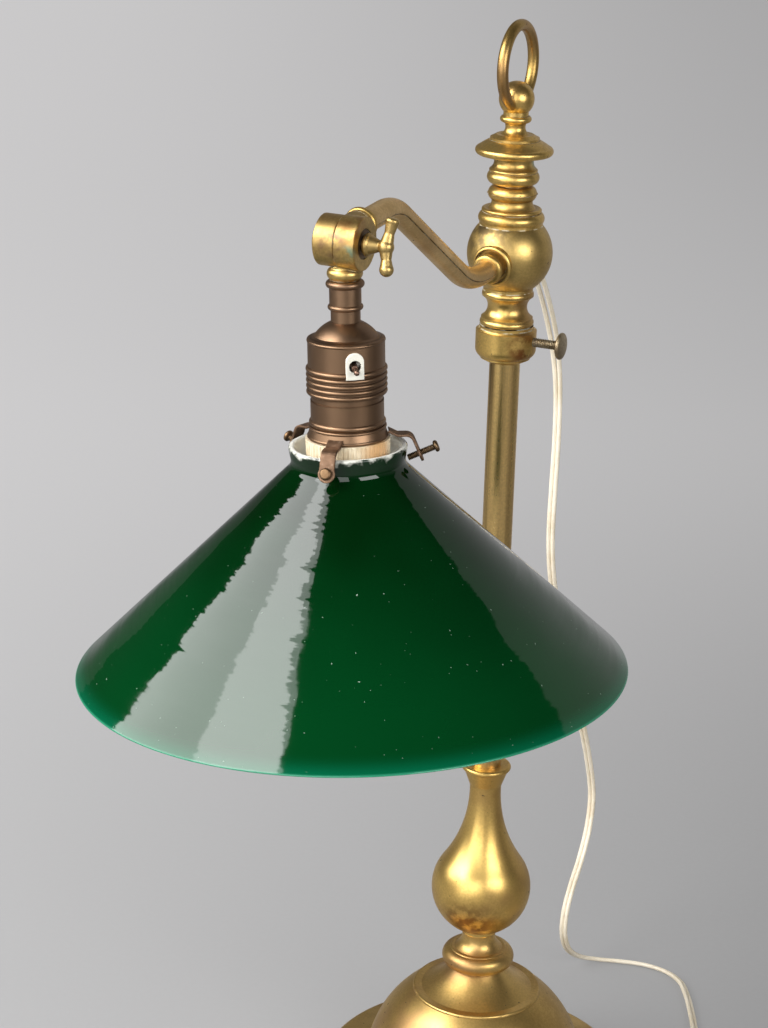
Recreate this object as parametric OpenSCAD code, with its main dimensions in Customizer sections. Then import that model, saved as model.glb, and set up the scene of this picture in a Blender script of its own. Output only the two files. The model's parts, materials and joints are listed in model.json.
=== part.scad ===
// Adjustable brass desk lamp: a weighted dome base, a turned baluster and a plain pole,
// a slider that is clamped at any height, an S-shaped arm that swivels on the slider,
// a knuckle with a wing screw, and a lampholder that carries a coned glass shade.
// Millimetres, +Z up. The origin is the centre of the pad that stands on the table,
// the arm points along -Y and the knuckle's axis lies along X.

/* [Base] */
// Diameter of the foot flange
flange_d = 174; // [166:1:190]
// Thickness of the felt pad under the base
pad_t = 2; // [1:0.5:4]
// Height of the flange's rounded edge
flange_edge_h = 12; // [8:1:14]
// Rise of the flange from its edge to the dome
flange_rise = 4; // [2:0.5:6]
// Radius of the round dome
dome_r = 62; // [58:1:66]
// Height of the dome's centre above the pad
dome_lift = 11; // [9:1:13]
// Diameter of the beaded land on top of the dome
land_d = 71; // [66:1:76]
// Height of the hollow-sided cone above the land
trumpet_h = 15.5; // [13:0.5:18]
// Radius of that cone at its top
trumpet_top_r = 13.5; // [12:0.5:15]
// Wall of the base shell
base_wall = 2; // [1.5:0.1:2.5]
// Height of the iron weight under the dome's top
weight_h = 24; // [18:1:28]

/* [Column] */
// Radius of the bead on the stem foot
foot_bead_r = 20.2; // [18:0.1:23]
// Height of the stem foot
foot_h = 20.5; // [19.5:0.5:24]
// Radius of the joint between stem foot and baluster
joint_r = 9.3; // [8.5:0.1:10.5]
// Radius of the baluster's belly
belly_r = 27.6; // [25:0.1:30]
// Height of the baluster
baluster_h = 103; // [97:1:110]
// Radius of the baluster's neck
baluster_neck_r = 8.6; // [8:0.1:9.5]
// Radius of the baluster's lip
lip_r = 13.5; // [12.5:0.1:15]
// Diameter of the pole
pole_d = 16; // [15.6:0.1:16.4]
// Wall of the pole
pole_wall = 1.2; // [1:0.1:1.6]
// Length of the pole
pole_l = 341; // [330:1:380]
// Depth of the pole's seat in the baluster
pole_seat = 6; // [4:0.5:8]
// Radius of the tie rod through the base and baluster
rod_r = 4; // [3:0.1:5]

/* [Finial] */
// Radius of the domed disc
disc_r = 19.9; // [18:0.1:22]
// Height of the finial cap
cap_h = 25.5; // [24.5:0.5:28]
// Depth of the pole's socket in the cap
cap_socket = 12.5; // [10:0.5:14]
// Radius of the eye ball
eye_r = 9; // [8.2:0.1:10]
// Height of the neck and bead under the eye ball
eye_neck_h = 10; // [9.5:0.5:12]
// Middle radius of the carrying ring
ring_mid_r = 20; // [18:0.1:22]
// Thickness of the ring's wire
ring_wire_d = 5.8; // [5:0.1:6.4]

/* [Slider] */
// Radius of the height collar
collar_r = 15.8; // [15:0.1:17]
// Height of the height collar
collar_h = 17.4; // [16:0.2:20]
// Height of the thumb screw above the collar's underside
screw_up = 11.5; // [10:0.5:12]
// Radius of the thumb screw's shank
screw_r = 2.4; // [2:0.1:2.8]
// Radius of the thumb screw's disc head
screw_head_r = 7; // [6:0.1:8]
// Bare length of shank between collar and head
screw_bare = 13.5; // [10:0.5:16]
// Radius of the ball
ball_r = 22; // [21:0.1:23.5]
// Wall of the hollow ball
ball_wall = 3; // [2.5:0.1:4]
// Height of the throat below the ball
throat_h = 20; // [19:0.5:22]
// Height of the crown above the ball
crown_h = 20.2; // [19.6:0.2:23]
// Clearance under the finial at the top of the slide
top_gap = 0.6; // [0.4:0.1:2]

/* [Arm] */
// Distance from the pole to the knuckle
reach = 205; // [195:1:225]
// Height of the knuckle above the ball's centre
rise = 46.3; // [42:0.1:52]
// Radius of the arm tube
tube_r = 5.5; // [5:0.1:5.8]
// Wall of the arm tube
tube_wall = 1.5; // [1.2:0.1:1.8]
// Droop of the arm where it leaves the ball, in degrees
arm_droop = 6; // [3:1:9]
// Climb of the arm's straight stretch, in degrees
arm_climb = 31; // [28:1:34]
// Dip of the arm's far end, in degrees
arm_dip = 4; // [2:1:6]
// Straight length from the pole axis to the first bend
arm_start = 34; // [32:1:38]
// Middle radius of the low bend
low_bend_r = 55; // [48:1:60]
// Middle radius of the high bend
high_bend_r = 35; // [30:1:40]
// Radius of the flange where the arm meets the ball
boss_r = 10.5; // [9.8:0.1:11.5]

/* [Knuckle] */
// Radius of the arm's drum
arm_drum_r = 11.5; // [11:0.1:12]
// Radius of the head's drum
head_drum_r = 11.9; // [11.6:0.1:12.4]
// Width of each drum
drum_w = 10; // [9:0.5:11]
// Radius of the wing screw's shank
wing_shank_r = 2.5; // [2:0.1:3]
// Length of each wing from the screw's axis to its tip
wing_l = 12.4; // [11:0.1:15]
// Turn of the wings about the screw's axis, in degrees
wing_turn = 12; // [0:1:40]

/* [Lampholder] */
// Sideways lean of the head under the knuckle, in degrees
head_lean = 2.6; // [0:0.1:3]
// Height of the rounded collar under the knuckle
head_collar_h = 6; // [5:0.5:7]
// Radius of that collar
head_collar_r = 8; // [7.6:0.1:8.6]
// Length of the holder's neck
neck_l = 18.6; // [16:0.2:21]
// Radius of the holder's cap
holder_r = 17.2; // [16.8:0.1:18]
// Height of the cap's dome
cap_dome_h = 7.3; // [6:0.1:9]
// Height of the cap's straight side
cap_side_h = 14.9; // [13.5:0.1:16.5]
// Height of the ridged coupling ring
coupling_h = 13; // [12.5:0.5:15]
// Number of ridges on the coupling ring
ridge_count = 4; // [3:1:4]
// Height of the lower shell
shell_h = 11.5; // [10:0.5:15]
// Radius of the threaded skirt
skirt_r = 15.8; // [15.4:0.1:16]
// Length of the threaded skirt
skirt_l = 16; // [15:0.5:18]
// Radius of the lamp's screw socket
socket_r = 13.3; // [13:0.1:13.5]
// Length of the lamp's screw socket
socket_l = 23; // [20:0.5:25]
// Height of the switch above the cap's lower edge
switch_up = 6; // [5.5:0.5:6.5]
// Direction of the switch, in degrees from -Y towards +X
switch_turn = 38; // [0:1:60]

/* [Shade] */
// Diameter of the shade's rim
shade_d = 254; // [240:1:270]
// Diameter of the shade's lip
shade_lip_d = 53.8; // [52:0.2:56]
// Diameter of the waist below the lip
shade_waist_d = 50.6; // [49:0.2:51]
// Height of the lip above the waist
shade_neck_h = 8.7; // [8:0.1:10]
// Height of the cone from the rim to the waist
shade_cone_h = 97.5; // [90:0.5:105]
// Thickness of the glass
glass_t = 3; // [2.5:0.1:3.4]
// Height of the gallery ring
gallery_h = 6; // [5:0.1:7]
// Height of the ribbed shade ring
shade_ring_h = 7.5; // [6:0.5:8.5]
// Number of ribs round the shade ring
rib_count = 56; // [40:2:64]

/* [Cord] */
// Width of the twin flex
cord_d = 5; // [4.5:0.1:5]
// Thickness of the plug
plug_t = 17; // [17:0.5:20]
// Spacing of the plug's pins
pin_pitch = 18.6; // [17:0.1:19]

/* [Hidden] */
$fn = 48;
// Radial clearance of fixed fits and of running fits
fit = 0.04;
run = 0.06;
// Space between curved faces that move past each other
move_gap = 0.4;
// Space between flat faces that turn on each other
turn_gap = 0.15;
// Small overlap that makes cuts run clear
cut = 1;

// Heights up the column
flange_r = flange_d / 2;
land_r = land_d / 2;
dome_z = pad_t + dome_lift;
land_z = dome_z + sqrt(dome_r * dome_r - land_r * land_r);
base_top_z = land_z + trumpet_h;
baluster_z = base_top_z + foot_h;
baluster_top_z = baluster_z + baluster_h;
pole_z = baluster_top_z - pole_seat;
pole_r = pole_d / 2;
pole_in_r = pole_r - pole_wall;
pole_top_z = pole_z + pole_l;
cap_z = pole_top_z - cap_socket;
eye_z = cap_z + cap_h;
eye_ball_z = eye_z + eye_neck_h + eye_r * 0.86;
ring_dip = 3.3;
ring_z = eye_ball_z + ring_mid_r - ring_dip;
pole_plug_l = 18;
stud_r = 3;
stud_top_z = eye_z + 6;
weight_top_z = land_z - base_wall;
weight_z = weight_top_z - weight_h;
weight_gap = 0.3;
washer_h = 2;
base_washer_r = 14;
nut_h = 6.5;
nut_r = rod_r * 2.1;
rod_end = 3;
rod_in_pole = 14;
land_bead_h = 2.4;
trumpet_low_r = land_r - 1.6;

// Heights of the slider at the top of its travel
crown_top_z = cap_z - top_gap;
crown_z = crown_top_z - crown_h;
crown_seat_r = 16.3;
ball_z = crown_z - sqrt(ball_r * ball_r - crown_seat_r * crown_seat_r);
throat_seat_r = 10.4;
throat_top_z = ball_z - sqrt(ball_r * ball_r - throat_seat_r * throat_seat_r);
throat_z = throat_top_z - throat_h;
collar_z = throat_z - turn_gap - collar_h;
screw_z = collar_z + screw_up;
sleeve_in_r = pole_r + run;
sleeve_r = pole_r + 1;

// The arm's centre line: straight, low bend, climb, high bend, straight
arm_span = reach - arm_start * cos(arm_droop) - low_bend_r * (sin(arm_climb) + sin(arm_droop))
    - high_bend_r * (sin(arm_climb) + sin(arm_dip));
arm_lift = rise + arm_start * sin(arm_droop) - low_bend_r * (cos(arm_droop) - cos(arm_climb))
    - high_bend_r * (cos(arm_dip) - cos(arm_climb));
climb_l = (arm_span * sin(arm_dip) + arm_lift * cos(arm_dip)) / sin(arm_climb + arm_dip);
end_l = (arm_span * sin(arm_climb) - arm_lift * cos(arm_climb)) / sin(arm_climb + arm_dip);
ferrule_back = 27;
tube_back = head_drum_r + 2 * move_gap;
bend_steps = 10;
tube_sides = 24;
boss_out = ball_r + 2.5;
boss_floor = ball_r - 0.5;
boss_in = ball_r - 6;
boss_lip = 1.3;

// The knuckle and the head, with heights below the knuckle's axis
knuckle_z = ball_z + rise;
drum_face_x = drum_w / 2;
head_x = drum_face_x + turn_gap + drum_w / 2;
head_face_x = head_x + drum_w / 2;
neck_x = drum_face_x + turn_gap;
washer_r = 6.4;
washer_t = 1.6;
recess_d = 2;
head_neck_r = 6.6;
collar_top = -head_drum_r + 1;
neck_top = collar_top - head_collar_h;
neck_low_r = 6.6;
holder_top = neck_top - neck_l;
cap_side_top = holder_top - cap_dome_h;
cap_low = cap_side_top - cap_side_h;
coupling_low = cap_low - coupling_h;
shell_low = coupling_low - shell_h;
gallery_low = shell_low - gallery_h;
skirt_low = shell_low - skirt_l;
cap_wall = 1.2;
shell_r = holder_r - 0.8;
insert_r = skirt_r - 1.3;
insert_low = skirt_low + socket_l;
contact_r = 4.5;
contact_h = 2;
contact_out = 2.6;
seat_gap = 0.6;
seat_r = socket_r + seat_gap;
contact_z = insert_low + seat_gap + contact_out;
switch_z = cap_low + switch_up;
block_r = 9.6;
wire_r = 3.1;
lever_r = 0.9;
lever_pivot_r = holder_r - 4.2;
lever_rest = 12;
lever_l = 9;
pin_out_r = 0.8;
lever_w = 3.2;
lug_t = 1.4;
plate_w = 8;
plate_t = 1.6;
plate_h = 12;
plate_hole_r = 2.7;

// The shade, hung from the gallery
lip_drop = 3.6;
shade_lip_z = gallery_low - lip_drop;
waist_z = shade_lip_z - shade_neck_h;
rim_z = waist_z - shade_cone_h;
rim_r = shade_d / 2;
waist_r = shade_waist_d / 2;
shade_lip_r = shade_lip_d / 2;
gallery_r = skirt_r + 2;
gallery_edge = 0.4;
strip_t = 1.2;
strip_w = 7;
strip_bend_r = 3;
strip_bend_out = shade_lip_r - 0.9;
strip_lean = 22;
strip_drop = 7.2;
strip_start_h = 2.4;
bend_end = [strip_bend_out + strip_bend_r * cos(strip_lean),
    gallery_low - strip_bend_r + strip_bend_r * sin(strip_lean)];
grip = bend_end + strip_drop * [sin(strip_lean), -cos(strip_lean)];
grip_screw_r = 1.5;
neck_slope = (shade_lip_r - waist_r) / shade_neck_h;
grip_clear = 0.3 + grip_screw_r * (sin(strip_lean) + neck_slope * cos(strip_lean));
grip_tip = (grip[0] - shade_lip_r + neck_slope * (shade_lip_z - grip[1]) - grip_clear)
    / (cos(strip_lean) - neck_slope * sin(strip_lean));
grip_pad_r = strip_w / 2 + 0.4;
grip_head_r = 2.7;
grip_head_h = 2;
// The three strips were bent by hand: where each stands and how far its screw is out
strip_turns = [9, 117, 254];
screw_outs = [0.2, 6.4, 3.4];

// The cord: route points from the ball's back to the coil, on the table from the 22nd on
cord_route = [
    [0, 23.4, 481.8], [0, 34, 477], [0, 48, 461], [0, 62, 441], [0, 73, 420], [0, 80, 396],
    [0, 82, 368], [0, 81, 338], [0, 81, 308], [0, 88, 280], [0, 104, 250], [0, 126, 212],
    [0, 148, 173], [0, 166, 139], [0, 177, 110], [0, 174, 88], [0, 163, 71], [0, 150, 58],
    [0, 141, 45], [0, 140, 30], [1, 147, 16], [5, 158, 6.5], [15, 166, 3], [28, 171, 2.5],
    [43, 174, 2.5], [58, 172, 2.5], [70, 164, 2.5], [79, 150, 2.5], [86, 136, 2.5],
    [93, 121, 2.5], [99, 106, 2.6], [104, 88, 2.8], [107, 69, 3], [107, 51, 3]
];
cord_sides = 8;
coil_turns = 3;
coil_x = 144;
coil_y = 45;
coil_low_z = 3;
coil_pitch = cord_d + 0.65;
coil_layer = cord_d + 0.5;
coil_out_r = 37;
coil_in_r = coil_out_r - coil_turns * coil_pitch;
coil_steps = 24;
coil_sides = 6;
// Straight length between the coil and the plug
tail_l = 18;
in_turn = 360 * coil_turns;
all_turn = 2 * in_turn + 180;
coil_line = [for (i = [0 : all_turn * coil_steps / 360]) coil_point(i * 360 / coil_steps)];
coil_start = coil_line[0] + [0, cord_d, 0];
coil_end = coil_line[len(coil_line) - 1] + [0, tail_l, 0];
coil_path = concat([coil_start], coil_line, [coil_end]);

// The least gap between stretches of the coil that lie more than half a turn apart
coil_gap = min([
    for (i = [0 : len(coil_line) - 1], j = [i + coil_steps / 2 : len(coil_line) - 1])
        norm(coil_line[i] - coil_line[j])
]) - cord_d;
tie_t = 0.4;
tie_w = 8;
plug_y = coil_end[1] + 0.2;
plug_l = 36;
plug_w = plug_t + 10;
plug_grip_l = 9;
grip_end_r = 3.6;
shoulder_l = 8;
pin_l = 19;
pin_r = 2;

// Outlines for turned pieces: radius across, height up

// A rounded bead of outer radius r at height z, h high
module bead(r, z, h) {
    translate([r - h / 2, z]) circle(d = h);
    translate([0, z - h / 2]) square([r - h / 2, h]);
}

// A straight band of radius r from height low to high
module band(r, low, high) {
    translate([0, low]) square([r, high - low]);
}

// A tapered band
module taper(r_low, low, r_high, high) {
    polygon([[0, low], [r_low, low], [r_high, high], [0, high]]);
}

// A band whose side is hollowed to neck_r at height mid by a cove of radius cove_r
module cove(r, low, high, neck_r, mid, cove_r) {
    difference() {
        band(r, low, high);
        translate([neck_r + cove_r, mid]) circle(r = cove_r);
    }
}

// The right half of a circle on the axis, kept between two heights
module dome(r, z, low, high) {
    intersection() {
        translate([0, z]) circle(r = r, $fn = 96);
        band(r + cut, low, high);
    }
}

// A turned solid with a straight hole of radius hole_r down its axis
module turned(hole_r = 0) {
    rotate_extrude($fn = 96) difference() {
        intersection() {
            children();
            translate([0, -1000]) square([1000, 2000]);
        }
        if (hole_r > 0) translate([-cut, -1000]) square([hole_r + cut, 2000]);
    }
}

// Places

module along_x() {
    rotate([0, 90, 0]) children();
}

module at_ball() {
    translate([0, 0, ball_z]) children();
}

// Local Z runs out of the ball along the arm
module along_arm() {
    at_ball() rotate([90 + arm_droop, 0, 0]) children();
}

// Local Z runs out of the ball's back along the cord
module along_cord() {
    at_ball() rotate([-110, 0, 0]) children();
}

module at_knuckle() {
    translate([0, -reach, knuckle_z]) children();
}

module at_head() {
    translate([neck_x, -reach, knuckle_z]) rotate([0, -head_lean, 0]) children();
}

// Local X runs out from the head's axis, turned from -Y towards +X
module head_side(turn) {
    at_head() rotate([0, 0, turn - 90]) children();
}

// Base

module base_pad() {
    color("darkolivegreen") cylinder(r = flange_r - 1.5, h = pad_t, $fn = 96);
}

module flange_outline(edge_h, shrink) {
    edge_r = flange_r - shrink;
    translate([edge_r - edge_h / 2, pad_t + edge_h / 2]) circle(d = edge_h);
    polygon([[0, pad_t], [edge_r - edge_h / 2, pad_t], [edge_r - edge_h / 2, pad_t + edge_h],
        [dome_r - shrink, pad_t + edge_h + flange_rise], [0, pad_t + edge_h + flange_rise]]);
}

module base_shell() {
    color("darkgoldenrod") turned(rod_r + fit) difference() {
        union() {
            flange_outline(flange_edge_h, 0);
            dome(dome_r, dome_z, dome_z, land_z);
            bead(land_r + land_bead_h / 4, land_z, land_bead_h);
            difference() {
                band(trumpet_low_r, land_z - cut, base_top_z);
                trumpet_cove();
            }
        }
        dome(dome_r - base_wall, dome_z, dome_z, land_z - base_wall);
        band(dome_r - base_wall, pad_t - cut, dome_z);
        band(flange_r - flange_edge_h, pad_t - cut, pad_t + flange_edge_h / 2);
    }
}

// The cove that hollows the cone between the land and the stem foot
module trumpet_cove() {
    chord = norm([trumpet_low_r - trumpet_top_r, trumpet_h]);
    cove_r = chord * 1.9;
    lean = atan2(trumpet_h, trumpet_low_r - trumpet_top_r);
    mid = [(trumpet_low_r + trumpet_top_r) / 2, land_z + trumpet_h / 2];
    back = sqrt(cove_r * cove_r - chord * chord / 4);
    translate(mid + back * [sin(lean), cos(lean)]) circle(r = cove_r, $fn = 96);
}

module base_weight() {
    color("dimgray") turned(rod_r + fit)
        dome(dome_r - base_wall - weight_gap, dome_z, weight_z, weight_top_z - turn_gap);
}

module base_washer() {
    color("silver") translate([0, 0, weight_z - washer_h]) turned(rod_r + fit)
        band(base_washer_r, 0, washer_h);
}

module base_nut() {
    color("silver") translate([0, 0, weight_z - washer_h - nut_h]) difference() {
        cylinder(r = nut_r, h = nut_h, $fn = 6);
        translate([0, 0, -cut]) cylinder(r = rod_r + fit, h = nut_h + 2 * cut);
    }
}

module tie_rod() {
    rod_low = weight_z - washer_h - nut_h - rod_end;
    color("silver") translate([0, 0, rod_low]) cylinder(r = rod_r, h = pole_z + rod_in_pole - rod_low);
}

// Column

module stem_foot() {
    bead_h = 10.4;
    step_r = foot_bead_r - 4.2;
    step_h = 2.6;
    step_z = bead_h - 0.8;
    cove_r = 9;
    color("goldenrod") translate([0, 0, base_top_z]) turned(rod_r + fit) {
        band(trumpet_top_r - 0.4, 0, bead_h / 2);
        bead(foot_bead_r, bead_h / 2, bead_h);
        bead(step_r, step_z, step_h);
        cove(step_r - 0.8, step_z, foot_h, joint_r, foot_h - 2, cove_r);
    }
}

module baluster() {
    belly_z = belly_r + 0.6;
    neck_z = baluster_h - 15.4;
    neck_up = neck_z - belly_z;
    // The cove's radius lets it run into the belly without a corner
    cove_r = (baluster_neck_r ^ 2 + neck_up ^ 2 - belly_r ^ 2) / (2 * (belly_r - baluster_neck_r));
    shoulder_z = belly_z + belly_r * neck_up / (belly_r + cove_r);
    lip_h = 3.2;
    flare_h = 12;
    color("goldenrod") translate([0, 0, baluster_z]) difference() {
        turned(rod_r + fit) {
            band(joint_r, 0, 3);
            dome(belly_r, belly_z, 0, shoulder_z);
            cove(belly_r, shoulder_z, baluster_h - flare_h / 2, baluster_neck_r, neck_z, cove_r);
            taper(baluster_neck_r + 0.3, baluster_h - flare_h, lip_r - 1.2, baluster_h - lip_h + 0.6);
            bead(lip_r, baluster_h - lip_h / 2, lip_h);
        }
        translate([0, 0, baluster_h - pole_seat]) cylinder(r = pole_r + fit, h = pole_seat + cut);
    }
}

module pole_foot() {
    color("goldenrod") translate([0, 0, pole_z]) turned(rod_r + fit) band(pole_in_r - fit, 0, pole_plug_l);
}

module pole() {
    color("peru") translate([0, 0, pole_z]) turned(pole_in_r) band(pole_r, 0, pole_l);
}

module pole_plug() {
    color("goldenrod") turned() {
        band(pole_in_r - fit, pole_top_z - pole_plug_l, pole_top_z);
        band(stud_r, pole_top_z - pole_plug_l, stud_top_z);
    }
}

// Finial

module finial_cap() {
    disc_z = cap_h - 8.3;
    disc_edge_h = 4.4;
    dome_big_r = disc_r + 10.2;
    neck_r = pole_r + 2.1;
    low_bead_r = 13.4;
    low_bead_h = 7;
    crest_r = 12.6;
    crest_h = 1.6;
    color("goldenrod") translate([0, 0, cap_z]) difference() {
        turned(stud_r + fit) {
            bead(low_bead_r, low_bead_h / 2 + 0.2, low_bead_h);
            cove(low_bead_r - 1.6, low_bead_h - 1, disc_z, neck_r, disc_z - 5.6, 4.4);
            bead(low_bead_r - 1, low_bead_h + 0.2, 1.8);
            bead(disc_r, disc_z, disc_edge_h);
            dome(dome_big_r, disc_z - 21.8, disc_z + 1.6, cap_h - 2.9);
            band(crest_r, disc_z, cap_h - crest_h);
            taper(crest_r - 0.3, cap_h - crest_h, crest_r - 3, cap_h);
        }
        translate([0, 0, -cut]) cylinder(r = pole_r + fit, h = cap_socket + cut + fit);
    }
}

module finial_eye() {
    ball_up = eye_ball_z - eye_z;
    color("goldenrod") difference() {
        translate([0, 0, eye_z]) turned() {
            cove(8, 0, eye_neck_h - 3, 5.1, 3.6, 4);
            bead(8, eye_neck_h - 2.3, 3.4);
            band(6.4, eye_neck_h - 4, ball_up);
            dome(eye_r, ball_up, 0, ball_up + eye_r);
        }
        translate([0, 0, eye_z - cut]) cylinder(r = stud_r + fit, h = stud_top_z - eye_z + cut + fit);
        ring_sweep(ring_wire_d / 2 + fit);
    }
}

module ring_sweep(wire_r) {
    translate([0, 0, ring_z]) along_x() rotate_extrude($fn = 96)
        translate([ring_mid_r, 0]) circle(r = wire_r, $fn = 32);
}

module finial_ring() {
    color("goldenrod") ring_sweep(ring_wire_d / 2);
}

// Slider

module height_collar() {
    round_r = 5;
    color("goldenrod") difference() {
        translate([0, 0, collar_z]) turned(sleeve_in_r) {
            taper(10.4, 0, 13, 1.6);
            band(13, 1.4, round_r);
            translate([collar_r - round_r, round_r + 1.6]) circle(r = round_r);
            band(collar_r - round_r, 1.6, collar_h);
            band(collar_r, round_r + 1.6, collar_h - 1);
            bead(collar_r, collar_h - 1.6, 1.6);
            taper(collar_r - 0.8, collar_h - 1, collar_r - 1.6, collar_h);
        }
        translate([0, 0, screw_z]) along_x() cylinder(r = screw_r + run, h = collar_r + cut);
    }
}

module thumb_screw() {
    head_x0 = collar_r + screw_bare;
    color("saddlebrown") translate([0, 0, screw_z]) along_x() turned() {
        band(screw_r, pole_r + move_gap, head_x0 + 1);
        band(screw_head_r - 1.2, head_x0, head_x0 + 2.4);
        bead(screw_head_r, head_x0 + 1.2, 2.4);
        dome(12, head_x0 - 8.8, head_x0 + 2.2, head_x0 + 3.2);
    }
}

module throat() {
    color("goldenrod") translate([0, 0, throat_z]) turned(sleeve_r + fit) difference() {
        union() {
            band(collar_r - 1.8, 0, 1.4);
            bead(14, 3.2, 4.4);
            cove(13.4, 4.6, throat_h - 2.6, 10.2, 11.4, 6.6);
            bead(13.4, throat_h - 1.9, 4.6);
            band(12.8, throat_h - 3, throat_h + 2);
        }
        translate([0, ball_z - throat_z]) circle(r = ball_r + fit, $fn = 96);
    }
}

module ball() {
    color("goldenrod") difference() {
        at_ball() rotate_extrude($fn = 96) difference() {
            dome(ball_r, 0, throat_top_z - ball_z, crown_z - ball_z);
            dome(ball_r - ball_wall, 0, throat_top_z - ball_z + 2, crown_z - ball_z - 2);
            translate([-cut, -ball_r]) square([sleeve_r + fit + cut, 2 * ball_r]);
        }
        along_arm() cylinder(r = boss_r - 1 + fit, h = ball_r + cut);
        along_cord() cylinder(r = 3.8, h = ball_r + cut);
    }
}

module crown() {
    color("goldenrod") translate([0, 0, crown_z]) turned(sleeve_r + fit) difference() {
        union() {
            band(crown_seat_r, -2, 2);
            bead(17, 3.5, 7);
            bead(15.4, 7.6, 2.2);
            cove(14.6, 7.6, crown_h - 4, 10.5, 12.2, 4.5);
            bead(12.5, crown_h - 4, 8);
        }
        translate([0, ball_z - crown_z]) circle(r = ball_r + fit, $fn = 96);
    }
}

module swivel_sleeve() {
    color("peru") translate([0, 0, throat_z]) turned(sleeve_in_r)
        band(sleeve_r, 0, crown_top_z - throat_z - 0.5);
}

// Arm

module arm_boss() {
    color("goldenrod") along_arm() turned(tube_r + fit) difference() {
        union() {
            band(boss_r - 1, boss_in, boss_out - 1);
            intersection() {
                bead(boss_r, boss_out - 1.6, 3.2);
                band(boss_r, ball_r - 2, boss_out);
            }
        }
        band(boss_r - boss_lip, boss_floor, boss_out + cut);
    }
}

module arm_ring() {
    color("goldenrod") along_arm() turned(tube_r + fit) {
        band(7.2, boss_floor, boss_out + 4);
        bead(7.9, boss_out + 4.4, 4.2);
    }
}

// The arm's centre line as stations [out, up, slope], from the ball to short of the knuckle
function arm_line(from, back) = let (
    bend_start = arm_start * [cos(arm_droop), -sin(arm_droop)],
    low_mid = bend_start + low_bend_r * [sin(arm_droop), cos(arm_droop)],
    climb_start = low_mid + low_bend_r * [sin(arm_climb), -cos(arm_climb)],
    climb_end = climb_start + climb_l * [cos(arm_climb), sin(arm_climb)],
    high_mid = climb_end + high_bend_r * [sin(arm_climb), -cos(arm_climb)],
    dip_start = high_mid + high_bend_r * [sin(arm_dip), cos(arm_dip)],
    finish = dip_start + (end_l - back) * [cos(arm_dip), -sin(arm_dip)]
) [
    [from * cos(arm_droop), -from * sin(arm_droop), -arm_droop],
    for (i = [0 : bend_steps])
        let (a = -arm_droop + (arm_climb + arm_droop) * i / bend_steps)
            [each low_mid + low_bend_r * [sin(a), -cos(a)], a],
    for (i = [0 : bend_steps])
        let (a = arm_climb - (arm_climb + arm_dip) * i / bend_steps)
            [each high_mid + high_bend_r * [-sin(a), cos(a)], a],
    [each finish, -arm_dip]
];

// Rings of points round the arm's stations
function arm_rings(r, from, back, sides) = [
    for (s = arm_line(from, back)) [
        for (k = [0 : sides - 1]) let (a = k * 360 / sides)
            [r * cos(a), -s[0] + r * sin(a) * sin(s[2]), ball_z + s[1] + r * sin(a) * cos(s[2])]
    ]
];

module arm_tube() {
    color("peru") skin(arm_rings(tube_r, boss_in, tube_back, tube_sides),
        arm_rings(tube_r - tube_wall, boss_in, tube_back, tube_sides));
}

module arm_flex() {
    color("ivory") skin(arm_rings(wire_r, boss_in - 2, tube_back, cord_sides));
}

// Local Z runs back from the knuckle along the arm's end
module along_end() {
    at_knuckle() rotate([-90 + arm_dip, 0, 0]) children();
}

module end_ferrule() {
    color("goldenrod") along_end() turned(tube_r + fit) {
        bead(8, ferrule_back, 3.4);
        band(7.2, ferrule_back - 3.6, ferrule_back + 2.4);
    }
}

module arm_knuckle() {
    color("goldenrod") difference() {
        union() {
            at_knuckle() along_x() translate([0, 0, -drum_face_x]) {
                cylinder(r = arm_drum_r, h = drum_w, $fn = 96);
                translate([0, 0, -1.2]) cylinder(r1 = arm_drum_r - 2.4, r2 = arm_drum_r - 1, h = 1.3);
            }
            along_end() cylinder(r = 7.2, h = ferrule_back - 3.7);
        }
        along_end() translate([0, 0, tube_back - turn_gap]) cylinder(r = tube_r + fit, h = ferrule_back);
        at_knuckle() along_x() translate([0, 0, -drum_face_x + 1.5])
            cylinder(r = wing_shank_r + run, h = drum_w);
        at_knuckle() along_x() translate([0, 0, drum_face_x])
            cylinder(r = head_drum_r + move_gap, h = drum_w);
    }
}

module cord_bush() {
    color("goldenrod") along_cord() turned(2.9) {
        band(3.76, ball_r - ball_wall - 1, ball_r + 1);
        intersection() {
            bead(4.6, ball_r + 1.2, 2.6);
            band(4.6, ball_r, ball_r + 2.5);
        }
    }
}

module wing_screw() {
    hub_x = head_face_x + 0.6;
    lobe_x = hub_x + 9.4;
    hub_r = 3.1;
    flare = 9;
    color("gold") at_knuckle() {
        along_x() turned() {
            band(wing_shank_r, -drum_face_x + 1.8, hub_x + 1);
            bead(4.6, hub_x + 0.9, 1.8);
            taper(4, hub_x + 1.4, 2, lobe_x - hub_r);
            band(2, lobe_x - hub_r - 0.5, lobe_x);
            dome(hub_r, lobe_x, lobe_x - hub_r, lobe_x + hub_r);
        }
        translate([lobe_x, 0, 0]) rotate([-wing_turn, 0, 0]) {
            rotate([0, flare, 0]) upper_wing();
            rotate([0, 180 - flare, 0]) lower_wing();
        }
    }
}

// The wing that flares to a flat end
module upper_wing() {
    turned() {
        taper(2.7, 0, 1.65, wing_l / 2);
        taper(1.65, wing_l / 2, 2.45, wing_l - 0.8);
        bead(2.6, wing_l - 0.9, 1.8);
    }
}

// The wing that ends in a drop
module lower_wing() {
    drop_r = 2.6;
    turned() {
        taper(2.7, 0, 1.7, wing_l * 0.45);
        taper(1.7, wing_l * 0.45, drop_r - 0.2, wing_l - drop_r - 0.6);
        dome(drop_r, wing_l - drop_r, 0, wing_l);
    }
}

// Head

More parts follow.
